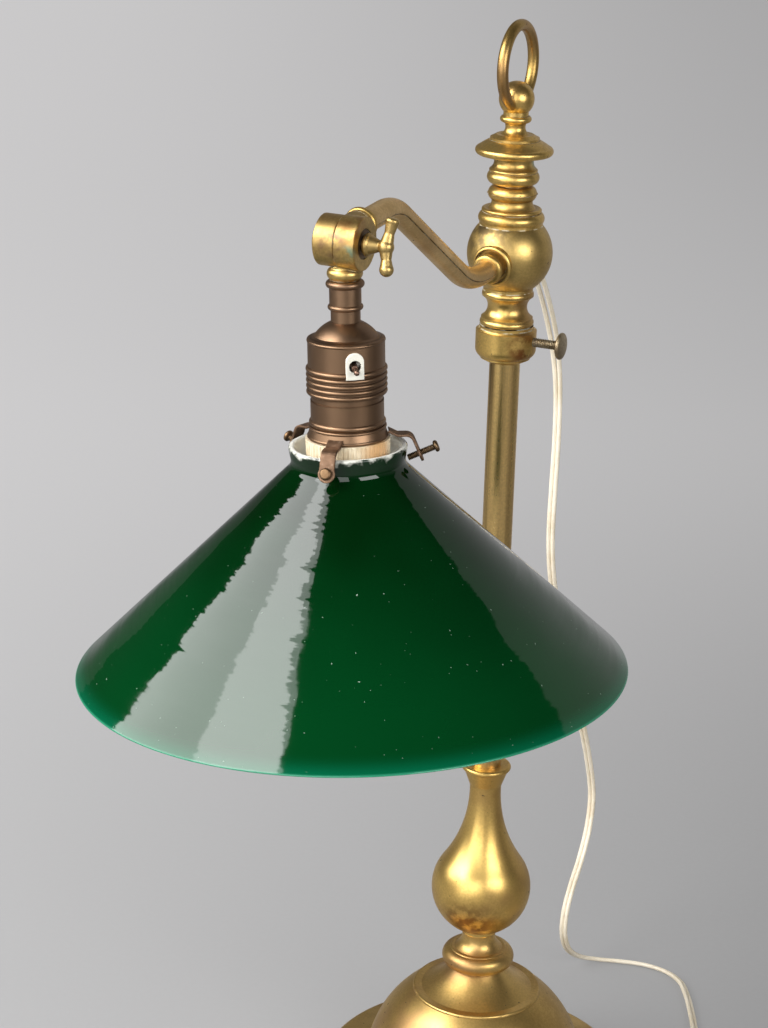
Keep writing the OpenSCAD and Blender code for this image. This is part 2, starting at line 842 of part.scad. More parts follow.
module head_knuckle() {
    color("goldenrod") difference() {
        union() {
            translate([drum_face_x + turn_gap, 0, 0]) at_knuckle() along_x()
                cylinder(r = head_drum_r, h = drum_w, $fn = 96);
            at_head() turned() {
                bead(head_collar_r, neck_top + head_collar_h / 2, head_collar_h);
                band(head_neck_r, neck_top, collar_top + 2);
            }
        }
        at_knuckle() along_x() {
            translate([0, 0, -drum_w])
                cylinder(r = arm_drum_r + move_gap, h = drum_w + drum_face_x + turn_gap);
            translate([0, 0, head_face_x - recess_d]) cylinder(r = washer_r + 0.3, h = recess_d + cut);
            cylinder(r = wing_shank_r + run, h = head_face_x + cut);
        }
        at_head() translate([0, 0, neck_top - cut]) cylinder(r = 4 + fit, h = head_collar_h / 2 + cut);
    }
}

module knuckle_washer() {
    color("saddlebrown") at_knuckle() along_x() translate([0, 0, head_face_x - recess_d])
        turned(wing_shank_r + run) band(washer_r, 0, washer_t);
}

module holder_neck() {
    color("saddlebrown") at_head() turned(wire_r + fit) {
        band(4, neck_top, neck_top + head_collar_h / 2 - 0.5);
        bead(8.6, neck_top - 1.7, 3.4);
        band(7.1, holder_top + 6.6, neck_top - 1);
        bead(7.9, holder_top + 6.6, 2.6);
        band(neck_low_r, holder_top, holder_top + 6.6);
        band(5, holder_top - 3, holder_top + 1);
    }
}

module holder_cap() {
    ledge_r = holder_r - 3;
    ledge_z = cap_side_top + 1.2;
    // The dome's circle passes the neck's foot and the ledge
    dome_mid = (neck_low_r ^ 2 - ledge_r ^ 2 + holder_top ^ 2 - ledge_z ^ 2) / (2 * (holder_top - ledge_z));
    dome_big = norm([ledge_r, ledge_z - dome_mid]);
    color("saddlebrown") difference() {
        at_head() turned(5 + fit) difference() {
            union() {
                dome(dome_big, dome_mid, ledge_z, holder_top);
                taper(holder_r, cap_side_top, ledge_r, ledge_z);
                band(holder_r, cap_low, cap_side_top);
                bead(holder_r + 0.3, cap_side_top - 0.8, 1.6);
                bead(holder_r + 1, cap_low + 1.3, 2.6);
            }
            dome(dome_big - cap_wall, dome_mid, ledge_z - cut, holder_top);
            band(ledge_r - cap_wall, cap_side_top - cut, ledge_z);
            band(holder_r - cap_wall, cap_low - cut, cap_side_top);
        }
        head_side(switch_turn) translate([lever_pivot_r, 0, switch_z]) along_x()
            cylinder(r = plate_hole_r, h = holder_r);
    }
}

module coupling_ring() {
    ridge_low = coupling_low + 2.7;
    pitch = (cap_low - ridge_low) / ridge_count;
    color("saddlebrown") at_head() turned(insert_r + 0.3) {
        band(shell_r - 0.5, coupling_low, cap_low);
        band(holder_r, ridge_low, cap_low);
        for (i = [0 : ridge_count - 1])
            bead(holder_r + 0.9, ridge_low + pitch * (i + 0.5), pitch * 0.8);
    }
}

module holder_shell() {
    color("saddlebrown") at_head() turned(insert_r + fit) {
        band(shell_r, shell_low, coupling_low);
        bead(holder_r, shell_low + 1.4, 2.8);
        band(skirt_r, skirt_low, shell_low);
    }
}

module holder_insert() {
    color("white") difference() {
        at_head() turned(wire_r + fit) {
            band(insert_r, insert_low, coupling_low + 1);
            band(insert_r - 1, coupling_low, cap_low);
            band(block_r, cap_low - cut, cap_side_top + 1);
        }
        at_head() translate([0, 0, insert_low - cut]) {
            cylinder(r = seat_r, h = seat_gap + cut);
            cylinder(r = contact_r + fit, h = contact_z + contact_h - insert_low + cut);
        }
    }
    color("white") for (side = [-1, 1]) switch_lug(side);
}

// One of the two lugs on the insert that carry the lever's pin
module switch_lug(side) {
    lug_y = side * (lever_w + lug_t) / 2;
    lug_r = pin_out_r + 1.2;
    head_side(switch_turn) difference() {
        translate([0, lug_y, switch_z]) rotate([90, 0, 0]) linear_extrude(lug_t, center = true) {
            translate([lever_pivot_r, 0]) circle(r = lug_r);
            translate([block_r - cut, -lug_r]) square([lever_pivot_r - block_r + cut, 2 * lug_r]);
        }
        switch_pin(pin_out_r + run);
    }
}

// The lever's pin across the two lugs
module switch_pin(r) {
    pin_w = lever_w + 2 * lug_t;
    translate([lever_pivot_r, pin_w / 2, switch_z]) rotate([90, 0, 0]) cylinder(r = r, h = pin_w);
}

module screw_shell() {
    color("gold") at_head() turned(socket_r) band(insert_r - fit, skirt_low, insert_low);
}

module centre_contact() {
    color("gold") at_head() turned() {
        band(contact_r, contact_z, contact_z + contact_h - 0.1);
        dome(contact_r - 0.5, contact_z + 1.4, contact_z - contact_out, contact_z + 1);
    }
}

module switch_plate() {
    low = cap_low + fit - switch_z;
    color("ivory") difference() {
        head_side(switch_turn) translate([0, 0, switch_z]) rotate([90, 0, 90])
            linear_extrude(holder_r + plate_t) difference() {
                union() {
                    translate([0, low + plate_h - plate_w / 2]) circle(d = plate_w);
                    translate([-plate_w / 2, low]) square([plate_w, plate_h - plate_w / 2]);
                }
                circle(r = plate_hole_r);
            }
        at_head() turned() {
            band(holder_r + fit, cap_low - cut, cap_side_top);
            bead(holder_r + 1 + fit, cap_low + 1.3, 2.6 + 2 * fit);
        }
    }
}

module switch_lever() {
    color("saddlebrown") head_side(switch_turn) {
        switch_pin(pin_out_r);
        translate([lever_pivot_r, 0, switch_z]) rotate([0, lever_rest, 0]) {
            sphere(r = lever_w / 2 - run);
            along_x() cylinder(r = lever_w / 2 - run, h = holder_r + plate_t - lever_pivot_r - 0.6);
            along_x() cylinder(r = lever_r, h = lever_l);
            translate([lever_l, 0, 0]) sphere(r = 1.3);
        }
    }
}

// Gallery and shade

module gallery_ring() {
    color("saddlebrown") at_head() turned(skirt_r + fit) {
        bead(gallery_r - 0.3, shell_low - 0.7, 1.4);
        taper(gallery_r + gallery_edge - 0.2, gallery_low + 1, gallery_r - 0.9, shell_low - 1.4);
        bead(gallery_r + gallery_edge, gallery_low + 0.9, 1.8);
    }
}

// A strip's side view: down from the ring, out over the lip and round the bend
module strip_side() {
    start = gallery_r - 0.3;
    flat_start = start + 2 * strip_start_h;
    wedge = 2 * (strip_bend_r + strip_t);
    polygon([[start, gallery_low + strip_start_h], [flat_start, gallery_low],
        [flat_start, gallery_low + strip_t], [start, gallery_low + strip_start_h + strip_t]]);
    translate([flat_start, gallery_low]) square([strip_bend_out - flat_start, strip_t]);
    translate([strip_bend_out, gallery_low - strip_bend_r]) intersection() {
        difference() {
            circle(r = strip_bend_r + strip_t);
            circle(r = strip_bend_r);
        }
        polygon([[0, 0], wedge * [cos(strip_lean), sin(strip_lean)], [wedge, wedge], [0, wedge]]);
    }
    translate(bend_end) rotate(strip_lean) translate([0, -strip_drop]) square([strip_t, strip_drop + fit]);
}

// Local Z runs out along a gallery screw, from the strip's inner face
module at_grip(i) {
    head_side(strip_turns[i]) translate([grip[0], 0, grip[1]])
        rotate([0, 90 - strip_lean, 0]) children();
}

module gallery_arms() {
    color("saddlebrown") for (i = [0 : len(strip_turns) - 1]) difference() {
        union() {
            head_side(strip_turns[i]) rotate([90, 0, 0]) translate([0, 0, -strip_w / 2])
                linear_extrude(strip_w) strip_side();
            at_grip(i) cylinder(r = grip_pad_r, h = strip_t);
        }
        at_grip(i) translate([0, 0, -cut]) cylinder(r = grip_screw_r + run, h = strip_t + 2 * cut);
        at_head() translate([0, 0, gallery_low - cut])
            cylinder(r = gallery_r + gallery_edge + fit, h = gallery_h + cut, $fn = 96);
    }
}

module gallery_screw(i) {
    head_low = strip_t + screw_outs[i];
    color("saddlebrown") at_grip(i) turned() {
        band(grip_screw_r, -grip_tip, head_low + grip_head_h / 2);
        bead(grip_head_r, head_low + grip_head_h / 2, grip_head_h);
    }
}

module gallery_screw_front() {
    gallery_screw(0);
}

module gallery_screw_right() {
    gallery_screw(1);
}

module gallery_screw_left() {
    gallery_screw(2);
}

module shade_ring() {
    ring_r = skirt_r + 3.1;
    color("cornsilk") at_head() difference() {
        translate([0, 0, gallery_low - shade_ring_h]) difference() {
            cylinder(r = ring_r, h = shade_ring_h, $fn = 96);
            translate([0, 0, -cut]) cylinder(r = skirt_r + fit, h = shade_ring_h + 2 * cut, $fn = 96);
        }
        for (i = [0 : rib_count - 1]) rotate([0, 0, i * 360 / rib_count])
            translate([ring_r + 0.2, 0, gallery_low - shade_ring_h - cut])
                cylinder(r = 0.6, h = shade_ring_h - 0.4 + cut, $fn = 24);
    }
}

module shade() {
    slope = atan2(shade_cone_h, rim_r - waist_r);
    lean = glass_t / sin(slope);
    color("darkgreen") at_head() turned() difference() {
        union() {
            taper(rim_r, rim_z, waist_r, waist_z);
            taper(waist_r, waist_z, shade_lip_r, shade_lip_z);
        }
        polygon([[-cut, rim_z - cut], [rim_r - lean + cut / tan(slope), rim_z - cut],
            [waist_r - glass_t, waist_z - (lean - glass_t) * tan(slope)],
            [shade_lip_r - glass_t, shade_lip_z + cut], [-cut, shade_lip_z + cut]]);
    }
}

// Cord

// A point on the smooth curve through four neighbours, t of the way from b to c
function smooth_point(a, b, c, d, t) =
    0.5 * (2 * b + (c - a) * t + (2 * a - 5 * b + 4 * c - d) * t * t
    + (3 * b - a - 3 * c + d) * t * t * t);

// The route with one more point in the middle of each stretch
function smooth_route(p) = let (last = len(p) - 1) [
    for (i = [0 : last - 1], t = [0, 0.5])
        smooth_point(p[max(i - 1, 0)], p[i], p[i + 1], p[min(i + 2, last)], t),
    p[last]
];

function unit(v) = v / norm(v);

// The direction of a line of points at its point i
function heading(p, i) = unit(p[min(i + 1, len(p) - 1)] - p[max(i - 1, 0)]);

// Rings of points round a line of points; side is a direction that no stretch runs along
function line_rings(p, d, sides, side) = [
    for (i = [0 : len(p) - 1]) let (t = heading(p, i), u = unit(cross(t, side)), v = cross(t, u)) [
        for (k = [0 : sides - 1])
            p[i] + d / 2 * (cos(k * 360 / sides) * u + sin(k * 360 / sides) * v)
    ]
];

// The faces between neighbouring rings, numbered from first; they look out, or in if turned
function wall_faces(count, sides, first, turned_in) = [
    for (i = [0 : count - 2], k = [0 : sides - 1]) let (
        a = first + i * sides + k,
        b = first + i * sides + (k + 1) % sides
    ) each turned_in ? [[a, b, a + sides], [b, b + sides, a + sides]]
        : [[a, a + sides, b], [b, a + sides, b + sides]]
];

// A closed end: a fan of faces, or a flat ring of them between the outer and inner walls
function end_faces(sides, outer, inner, hollow, far) = [
    for (k = [0 : sides - 1]) let (n = (k + 1) % sides)
        each hollow ? (far ? [[outer + n, outer + k, inner + k], [outer + n, inner + k, inner + n]]
                : [[outer + k, outer + n, inner + k], [outer + n, inner + n, inner + k]])
            : k > 0 && n > 0 ? [far ? [outer, outer + n, outer + k] : [outer, outer + k, outer + n]] : []
];

// A solid between rings of points, solid or with an inner wall
module skin(outer, inner = []) {
    count = len(outer);
    sides = len(outer[0]);
    hollow = len(inner) > 0;
    first_in = count * sides;
    last = (count - 1) * sides;
    polyhedron(
        [for (ring = concat(outer, inner)) each ring],
        concat(
            wall_faces(count, sides, 0, false),
            hollow ? wall_faces(count, sides, first_in, true) : [],
            end_faces(sides, 0, first_in, hollow, false),
            end_faces(sides, last, first_in + last, hollow, true)
        )
    );
}

module cord_drop() {
    color("ivory") skin(line_rings(smooth_route(cord_route), cord_d, cord_sides, [1, 1, 1]));
}

// The coil: in along the table, a half turn that climbs, and out again on top
function coil_radius(a) =
    a < in_turn ? coil_out_r - coil_pitch * a / 360
    : a < in_turn + 180 ? let (b = a - in_turn) coil_in_r - coil_pitch / 360 * (b - b * b / 180)
    : coil_in_r + coil_pitch * (a - in_turn - 180) / 360;
function coil_rise(a) = let (s = min(max((a - in_turn) / 180, 0), 1)) coil_layer * s * s * (3 - 2 * s);
function coil_point(a) = [coil_x, coil_y, coil_low_z]
    + [-coil_radius(a) * cos(a), -coil_radius(a) * sin(a), coil_rise(a)];

function path_length(p, i = 0) = i > len(p) - 2 ? 0 : norm(p[i + 1] - p[i]) + path_length(p, i + 1);

module cord_coil() {
    echo(coil_gap = coil_gap, cord_length = path_length(smooth_route(cord_route)) + path_length(coil_path));
    color("ivory") skin(line_rings(coil_path, cord_d, coil_sides, [0, 0, 1]));
}

// A flat strap round the coil's turns
module cord_tie() {
    slack = 0.5;
    bore_r = coil_in_r - coil_pitch / 8 - cord_d / 2;
    inner_r = sqrt(bore_r * bore_r - tie_w * tie_w / 4) - slack - tie_t;
    across = coil_out_r + cord_d / 2 + slack - inner_r;
    tall = coil_low_z + coil_layer + cord_d / 2 + slack - tie_t;
    color("ivory") translate([coil_x, coil_y - inner_r, 0]) rotate([90, 0, 0]) rotate([0, -90, 0])
        translate([0, 0, -tie_w / 2]) linear_extrude(tie_w) difference() {
            square([across + 2 * tie_t, tall + 2 * tie_t]);
            translate([tie_t, tie_t]) square([across, tall]);
        }
}

module plug_body() {
    color("ivory") translate([coil_end[0], plug_y, plug_t / 2]) rotate([-90, 0, 0]) {
        cylinder(r1 = grip_end_r, r2 = grip_end_r + 1.4, h = plug_grip_l);
        hull() {
            translate([0, 0, plug_grip_l - 1]) cylinder(r = plug_t / 2 - 2, h = 1, $fn = 32);
            for (x = [-1, 1]) translate([x * (plug_w - plug_t) / 2, 0, plug_grip_l + shoulder_l])
                cylinder(r = plug_t / 2, h = plug_l - plug_grip_l - shoulder_l, $fn = 32);
        }
    }
}

module plug_pins() {
    color("silver") for (x = [-1, 1])
        translate([coil_end[0] + x * pin_pitch / 2, plug_y + plug_l, plug_t / 2]) rotate([-90, 0, 0]) {
            cylinder(r = pin_r, h = pin_l - pin_r);
            translate([0, 0, pin_l - pin_r]) sphere(r = pin_r);
        }
}

base_pad();
base_shell();
base_weight();
base_washer();
base_nut();
tie_rod();
stem_foot();
baluster();
pole_foot();
pole();
pole_plug();
finial_cap();
finial_eye();
finial_ring();
height_collar();
thumb_screw();
throat();
ball();
crown();
swivel_sleeve();
arm_boss();
arm_ring();
arm_tube();
arm_flex();
end_ferrule();
arm_knuckle();
cord_bush();
wing_screw();
head_knuckle();
knuckle_washer();
holder_neck();
holder_cap();
coupling_ring();
holder_shell();
holder_insert();
screw_shell();
centre_contact();
switch_plate();
switch_lever();
gallery_ring();
gallery_arms();
gallery_screw_front();
gallery_screw_right();
gallery_screw_left();
shade_ring();
shade();
cord_drop();
cord_coil();
cord_tie();
plug_body();
plug_pins();
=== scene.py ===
# %% [markdown]
# # An old brass desk lamp
# The solids of the lamp come as a fixed frame, already in metres and in their places. This lesson dresses
# that frame: it sets the camera, lays the flex, mixes the finishes and remakes the pieces whose
# shape the plain solids only hint at, such as threads, worn castings and blown glass.

# %% Load the frame
import json
import math
import bmesh
import bpy
from mathutils import Matrix, Vector


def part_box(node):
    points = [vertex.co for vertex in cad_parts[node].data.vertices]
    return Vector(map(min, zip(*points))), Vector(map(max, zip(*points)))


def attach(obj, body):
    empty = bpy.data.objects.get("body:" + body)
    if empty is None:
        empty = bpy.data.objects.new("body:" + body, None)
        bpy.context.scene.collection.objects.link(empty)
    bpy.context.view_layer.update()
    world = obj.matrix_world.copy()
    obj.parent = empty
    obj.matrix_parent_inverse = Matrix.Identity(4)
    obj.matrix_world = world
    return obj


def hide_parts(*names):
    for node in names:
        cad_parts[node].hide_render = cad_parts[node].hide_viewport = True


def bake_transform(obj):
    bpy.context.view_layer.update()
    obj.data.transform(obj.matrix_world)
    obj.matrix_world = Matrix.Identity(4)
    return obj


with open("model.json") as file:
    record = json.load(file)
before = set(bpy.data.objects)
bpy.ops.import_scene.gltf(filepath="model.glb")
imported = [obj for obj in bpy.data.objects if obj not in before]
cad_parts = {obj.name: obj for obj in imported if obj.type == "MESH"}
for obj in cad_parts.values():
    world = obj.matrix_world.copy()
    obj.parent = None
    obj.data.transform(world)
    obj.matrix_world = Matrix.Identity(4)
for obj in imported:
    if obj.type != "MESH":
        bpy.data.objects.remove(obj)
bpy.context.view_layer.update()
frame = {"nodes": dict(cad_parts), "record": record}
MM = 0.001
slot_of = {row["node"]: row["material_slot"] for row in frame["record"]["subparts"]}

# The head hangs from the knuckle with a slight sideways lean, so it has a frame of its own.
KNUCKLE = Vector((5.15, -205, 536.055)) * MM
at_head = Matrix.Translation(KNUCKLE) @ Matrix.Rotation(math.radians(-2.6), 4, "Y")
HEAD_UP = at_head.to_3x3() @ Vector((0, 0, 1))


def head_point(x, y, z):
    return at_head @ (Vector((x, y, z)) * MM)


def add_object(name, data):
    obj = bpy.data.objects.new(name, data)
    bpy.context.collection.objects.link(obj)
    return obj


# %% [markdown]
# ## Camera
# The picture was taken a little from the right and from above, with a long lens, so upright lines stay
# nearly parallel. The eye's place and the lens come from matching the pole, the disc, the rim and the
# belly. The slight roll is part of the match: the pole leans a little in the picture.

# %% Camera
EYE = Vector((0.4705, -1.1639, 0.7804))
TURN = math.radians(24.77)
PITCH = math.radians(19.11)
ROLL = math.radians(1.7)
camera_data = bpy.data.cameras.new("portrait_camera")
camera_data.sensor_width = 36
camera_data.lens = 87.49
camera = add_object("portrait_camera", camera_data)
camera.matrix_world = (
    Matrix.Translation(EYE)
    @ Matrix.Rotation(TURN, 4, "Z")
    @ Matrix.Rotation(math.pi / 2 - PITCH, 4, "X")
    @ Matrix.Rotation(ROLL, 4, "Z")
)
bpy.context.scene.camera = camera
bpy.context.scene.view_settings.view_transform = "Standard"
print("lens", camera_data.lens, "eye", tuple(EYE))

# %% [markdown]
# ## The flex's route
# The twin flex hangs from a bush in the back of the ball, meets the table behind the base and ends in a
# tied coil with its plug. The points are those of the solids. A smooth curve through them is found
# with the Catmull-Rom rule, which passes through every point and never kinks.

# %% Route of the flex
DROP_POINTS = [
    (0, 23.4, 481.8), (0, 34, 477), (0, 48, 461), (0, 62, 441), (0, 73, 420), (0, 80, 396),
    (0, 82, 368), (0, 81, 338), (0, 81, 308), (0, 88, 280), (0, 104, 250), (0, 126, 212),
    (0, 148, 173), (0, 166, 139), (0, 177, 110), (0, 174, 88), (0, 163, 71), (0, 150, 58),
    (0, 141, 45), (0, 140, 30), (1, 147, 16), (5, 158, 6.5), (15, 166, 3), (28, 171, 2.5),
    (43, 174, 2.5), (58, 172, 2.5), (70, 164, 2.5), (79, 150, 2.5), (86, 136, 2.5), (93, 121, 2.5),
    (99, 106, 2.6), (104, 88, 2.8), (107, 69, 3), (107, 51, 3),
]
DROP_PARTS = 5
SPLIT_INDEX = 5
COIL_MIDDLE = Vector((144, 45, 3))
COIL_OUT_R = 37
COIL_PITCH = 5.65
COIL_IN_TURN = 1080
COIL_LAYER = 5.5
COIL_TAIL = 18
COIL_STEP = 10


def coil_point(angle):
    inward = COIL_OUT_R - COIL_PITCH * min(angle, COIL_IN_TURN) / 360
    climb = min(max(angle - COIL_IN_TURN, 0), 180)
    out = max(angle - COIL_IN_TURN - 180, 0)
    radius = inward - COIL_PITCH / 360 * (climb - climb * climb / 180) + COIL_PITCH * out / 360
    share = climb / 180
    turn = math.radians(angle)
    rise = COIL_LAYER * share * share * (3 - 2 * share)
    return COIL_MIDDLE + Vector((-radius * math.cos(turn), -radius * math.sin(turn), rise))


def smooth_line(points, parts):
    line = []
    for i in range(len(points) - 1):
        a, b, c, d = (Vector(points[min(max(i + k, 0), len(points) - 1)]) for k in (-1, 0, 1, 2))
        for k in range(parts):
            t = k / parts
            point = 2 * b + (c - a) * t
            point += (2 * a - 5 * b + 4 * c - d) * t**2
            point += (3 * b - a - 3 * c + d) * t**3
            line.append(0.5 * point)
    return line + [Vector(points[-1])]


coil_line = [coil_point(a) for a in range(0, 2 * COIL_IN_TURN + 181, COIL_STEP)]
coil_line.append(coil_line[-1] + Vector((0, COIL_TAIL, 0)))
flex_line = [point * MM for point in smooth_line(DROP_POINTS, DROP_PARTS) + coil_line[1:]]
SPLIT_POINT = Vector(DROP_POINTS[SPLIT_INDEX]) * MM
split_at = min(range(len(flex_line)), key=lambda i: (flex_line[i] - SPLIT_POINT).length)


def line_length(points):
    return sum((b - a).length for a, b in zip(points, points[1:]))


upper_line = flex_line[:split_at + 1]
lower_line = flex_line[split_at:]
upper_length = round(line_length(upper_line), 3)
lower_length = round(line_length(lower_line), 3)
print("flex length", upper_length, "above the split and", lower_length, "below it")

# %% [markdown]
# ## The two cores
# A twin flex is two round cores side by side with a groove between them. Each core is a curve with a round
# bevel, and both are turned into one mesh. The side vector is carried along the line without twisting,
# then turned on edge for the coil, as flat flex lies when it is wound. Near the ball the cores spread
# apart.

# %% Cores of the flex
CORE_R = 1.32 * MM
CORE_SIDE = 1.22 * MM
SPREAD_SIDE = 2.05 * MM
SPREAD_OPEN = 0.02
SPREAD_CLOSE = 0.05
SPREAD_END = 0.12
EDGE_START = 0.66
EDGE_END = 0.80


def ease(value, low, high):
    t = min(max((value - low) / (high - low), 0), 1)
    return t * t * (3 - 2 * t)


side = Vector((1, 0, 0))
run = 0.0
flex_stations = []
for i, point in enumerate(flex_line):
    ahead = (flex_line[min(i + 1, len(flex_line) - 1)] - flex_line[max(i - 1, 0)]).normalized()
    side = (side - ahead * side.dot(ahead)).normalized()
    on_edge = ease(run, EDGE_START, EDGE_END)
    upright = (Vector((0, 0, 1)) - ahead * ahead.z).normalized()
    across = (side * (1 - on_edge) + upright * on_edge).normalized()
    opened = ease(run, 0.0, SPREAD_OPEN)
    closed = ease(run, SPREAD_CLOSE, SPREAD_END)
    spread = CORE_SIDE + (SPREAD_SIDE - CORE_SIDE) * opened * (1 - closed)
    flex_stations.append((point, across * spread))
    if i + 1 < len(flex_line):
        run += (flex_line[i + 1] - point).length


def settled_mesh(source):
    graph = bpy.context.evaluated_depsgraph_get()
    mesh = bpy.data.meshes.new_from_object(source.evaluated_get(graph))
    bpy.data.objects.remove(source)
    return mesh


def flex_piece(name, stations):
    curve = bpy.data.curves.new(name, "CURVE")
    curve.dimensions = "3D"
    curve.bevel_depth = CORE_R
    curve.bevel_resolution = 3
    curve.use_fill_caps = True
    for sign in (-1, 1):
        spline = curve.splines.new("POLY")
        spline.points.add(len(stations) - 1)
        for slot, (point, across) in zip(spline.points, stations):
            slot.co = (*(point + across * sign), 1)
    flex = add_object(name, settled_mesh(add_object(name + "_line", curve)))
    print(name, "faces", len(flex.data.polygons))
    return flex


flex_upper = flex_piece("flex_upper", flex_stations[:split_at + 1])
flex_lower = flex_piece("flex_lower", flex_stations[split_at:])

# %% [markdown]
# ## Sums in a material
# Most of a finish is arithmetic: a bit more roughness where the metal is dull, less shine in a crevice.
# Adding Math nodes one by one hides that, so a small class wraps a socket and lets Python's own
# operators add them. A second class holds the material, and one method of it adds any other node.

# %% The finish maker
SHADOW_SAMPLES = 6


class Value:
    def __init__(self, socket):
        self.socket = socket

    def math(self, operation, first, second):
        tree = self.socket.id_data
        node = tree.nodes.new("ShaderNodeMath")
        node.operation = operation
        for slot, term in zip(node.inputs, (first, second)):
            join(tree, slot, term)
        return Value(node.outputs[0])

    def __add__(self, other):
        return self.math("ADD", self, other)

    def __sub__(self, other):
        return self.math("SUBTRACT", self, other)

    def __rsub__(self, other):
        return self.math("SUBTRACT", other, self)

    def __mul__(self, other):
        return self.math("MULTIPLY", self, other)

    def __abs__(self):
        return self.math("ABSOLUTE", self, 0.0)

    __radd__ = __add__
    __rmul__ = __mul__


def join(tree, slot, term):
    if isinstance(term, Value):
        tree.links.new(term.socket, slot)
    else:
        slot.default_value = term


class Finish:
    def __init__(self, name):
        self.material = bpy.data.materials.new(name)
        self.material.use_nodes = True
        self.tree = self.material.node_tree
        self.shader = self.tree.nodes["Principled BSDF"]
        self.place = self.node("ShaderNodeTexCoord", output="Object")

    def node(self, kind, settings=(), sockets=(), output=0):
        node = self.tree.nodes.new(kind)
        for key, value in dict(settings).items():
            setattr(node, key, value)
        for key, value in dict(sockets).items():
            join(self.tree, node.inputs[key], value)
        return Value(node.outputs[output])

    def set(self, **sockets):
        for key, value in sockets.items():
            socket = key.replace("_", " ").title().replace("Ior", "IOR")
            join(self.tree, self.shader.inputs[socket], value)
        print(self.material.name, "nodes", len(self.tree.nodes))
        return self.material

    def mix(self, share, first, second):
        first, second = (c if isinstance(c, Value) else (*c, 1) for c in (first, second))
        return self.node("ShaderNodeMix", {"data_type": "RGBA"}, {0: share, 6: first, 7: second}, 2)

    def step(self, value, low, high):
        sockets = {"Value": value, "From Min": low, "From Max": high}
        return self.node("ShaderNodeMapRange", {"interpolation_type": "SMOOTHSTEP"}, sockets)

    def grain(self, scale, detail=3.0, stretch=(1, 1, 1), shift=(0, 0, 0), place=None):
        sockets = {"Vector": place or self.place, "Location": shift, "Scale": stretch}
        where = self.node("ShaderNodeMapping", {}, sockets)
        return self.node("ShaderNodeTexNoise", {}, {"Vector": where, "Scale": scale, "Detail": detail})

    def axis(self, letter):
        return self.node("ShaderNodeSeparateXYZ", {}, {"Vector": self.place}, letter)

    def measure(self, operation, first, second):
        return self.node("ShaderNodeVectorMath", {"operation": operation}, {0: first, 1: second}, "Value")

    def along(self, line):
        return self.measure("DOT_PRODUCT", self.place, line)

    def near(self, point, reach):
        return self.step(self.measure("DISTANCE", self.place, point), reach, reach * 0.25)

    def rings(self, middle):
        flat = self.node("ShaderNodeVectorMath", {"operation": "MULTIPLY"}, {0: self.place, 1: (1, 1, 0)})
        radius = self.measure("DISTANCE", flat, (*middle, 0))
        return self.node("ShaderNodeCombineXYZ", {}, {"X": radius, "Z": self.axis("Z")})

    def openness(self, reach, local, inside=False):
        settings = {"samples": SHADOW_SAMPLES, "only_local": local, "inside": inside}
        return self.node("ShaderNodeAmbientOcclusion", settings, {"Distance": reach}, "AO")

    def hollow(self, reach, local):
        return 1 - self.openness(reach, local)

    def bump(self, height, depth, strength=1.0):
        sockets = {"Height": height, "Distance": depth, "Strength": strength}
        return self.node("ShaderNodeBump", {}, sockets)


# %% [markdown]
# ## Old brass
# Unlacquered brass dulls to an olive brown, wears bright where hands and cloths reach, blushes pink where
# zinc has leached out, and keeps dirt and dried polish in its hollows. Noise gives the patches and the
# fine speckle. Ambient occlusion finds the hollows at three reaches: broad coves are darkened brown as
# painted shade, narrow ones are darkened by dirt and painted shade together, and the tight line where two
# pieces meet is pale with old polish. Spots are stains at a known place, except one patch of painted shade
# on the ball, and seams are heights at which a joint runs round the piece.

# %% Old brass
STAND_AXIS = (0.0, 0.0)
HEAD_AXIS = (0.00515, -0.205)
BRIGHT = (0.81, 0.548, 0.172)
DULL = (0.52, 0.335, 0.098)
BLUSH = (0.40, 0.215, 0.105)
GRIME_AND_SHADE = (0.055, 0.036, 0.018)
POLISH_DUST = (0.60, 0.58, 0.46)
RUST_RED = (0.22, 0.075, 0.022)
VERDIGRIS = (0.20, 0.42, 0.33)
METAL_SHARE = 0.94
COVE_SHADE_BROWN = (0.21, 0.128, 0.042)


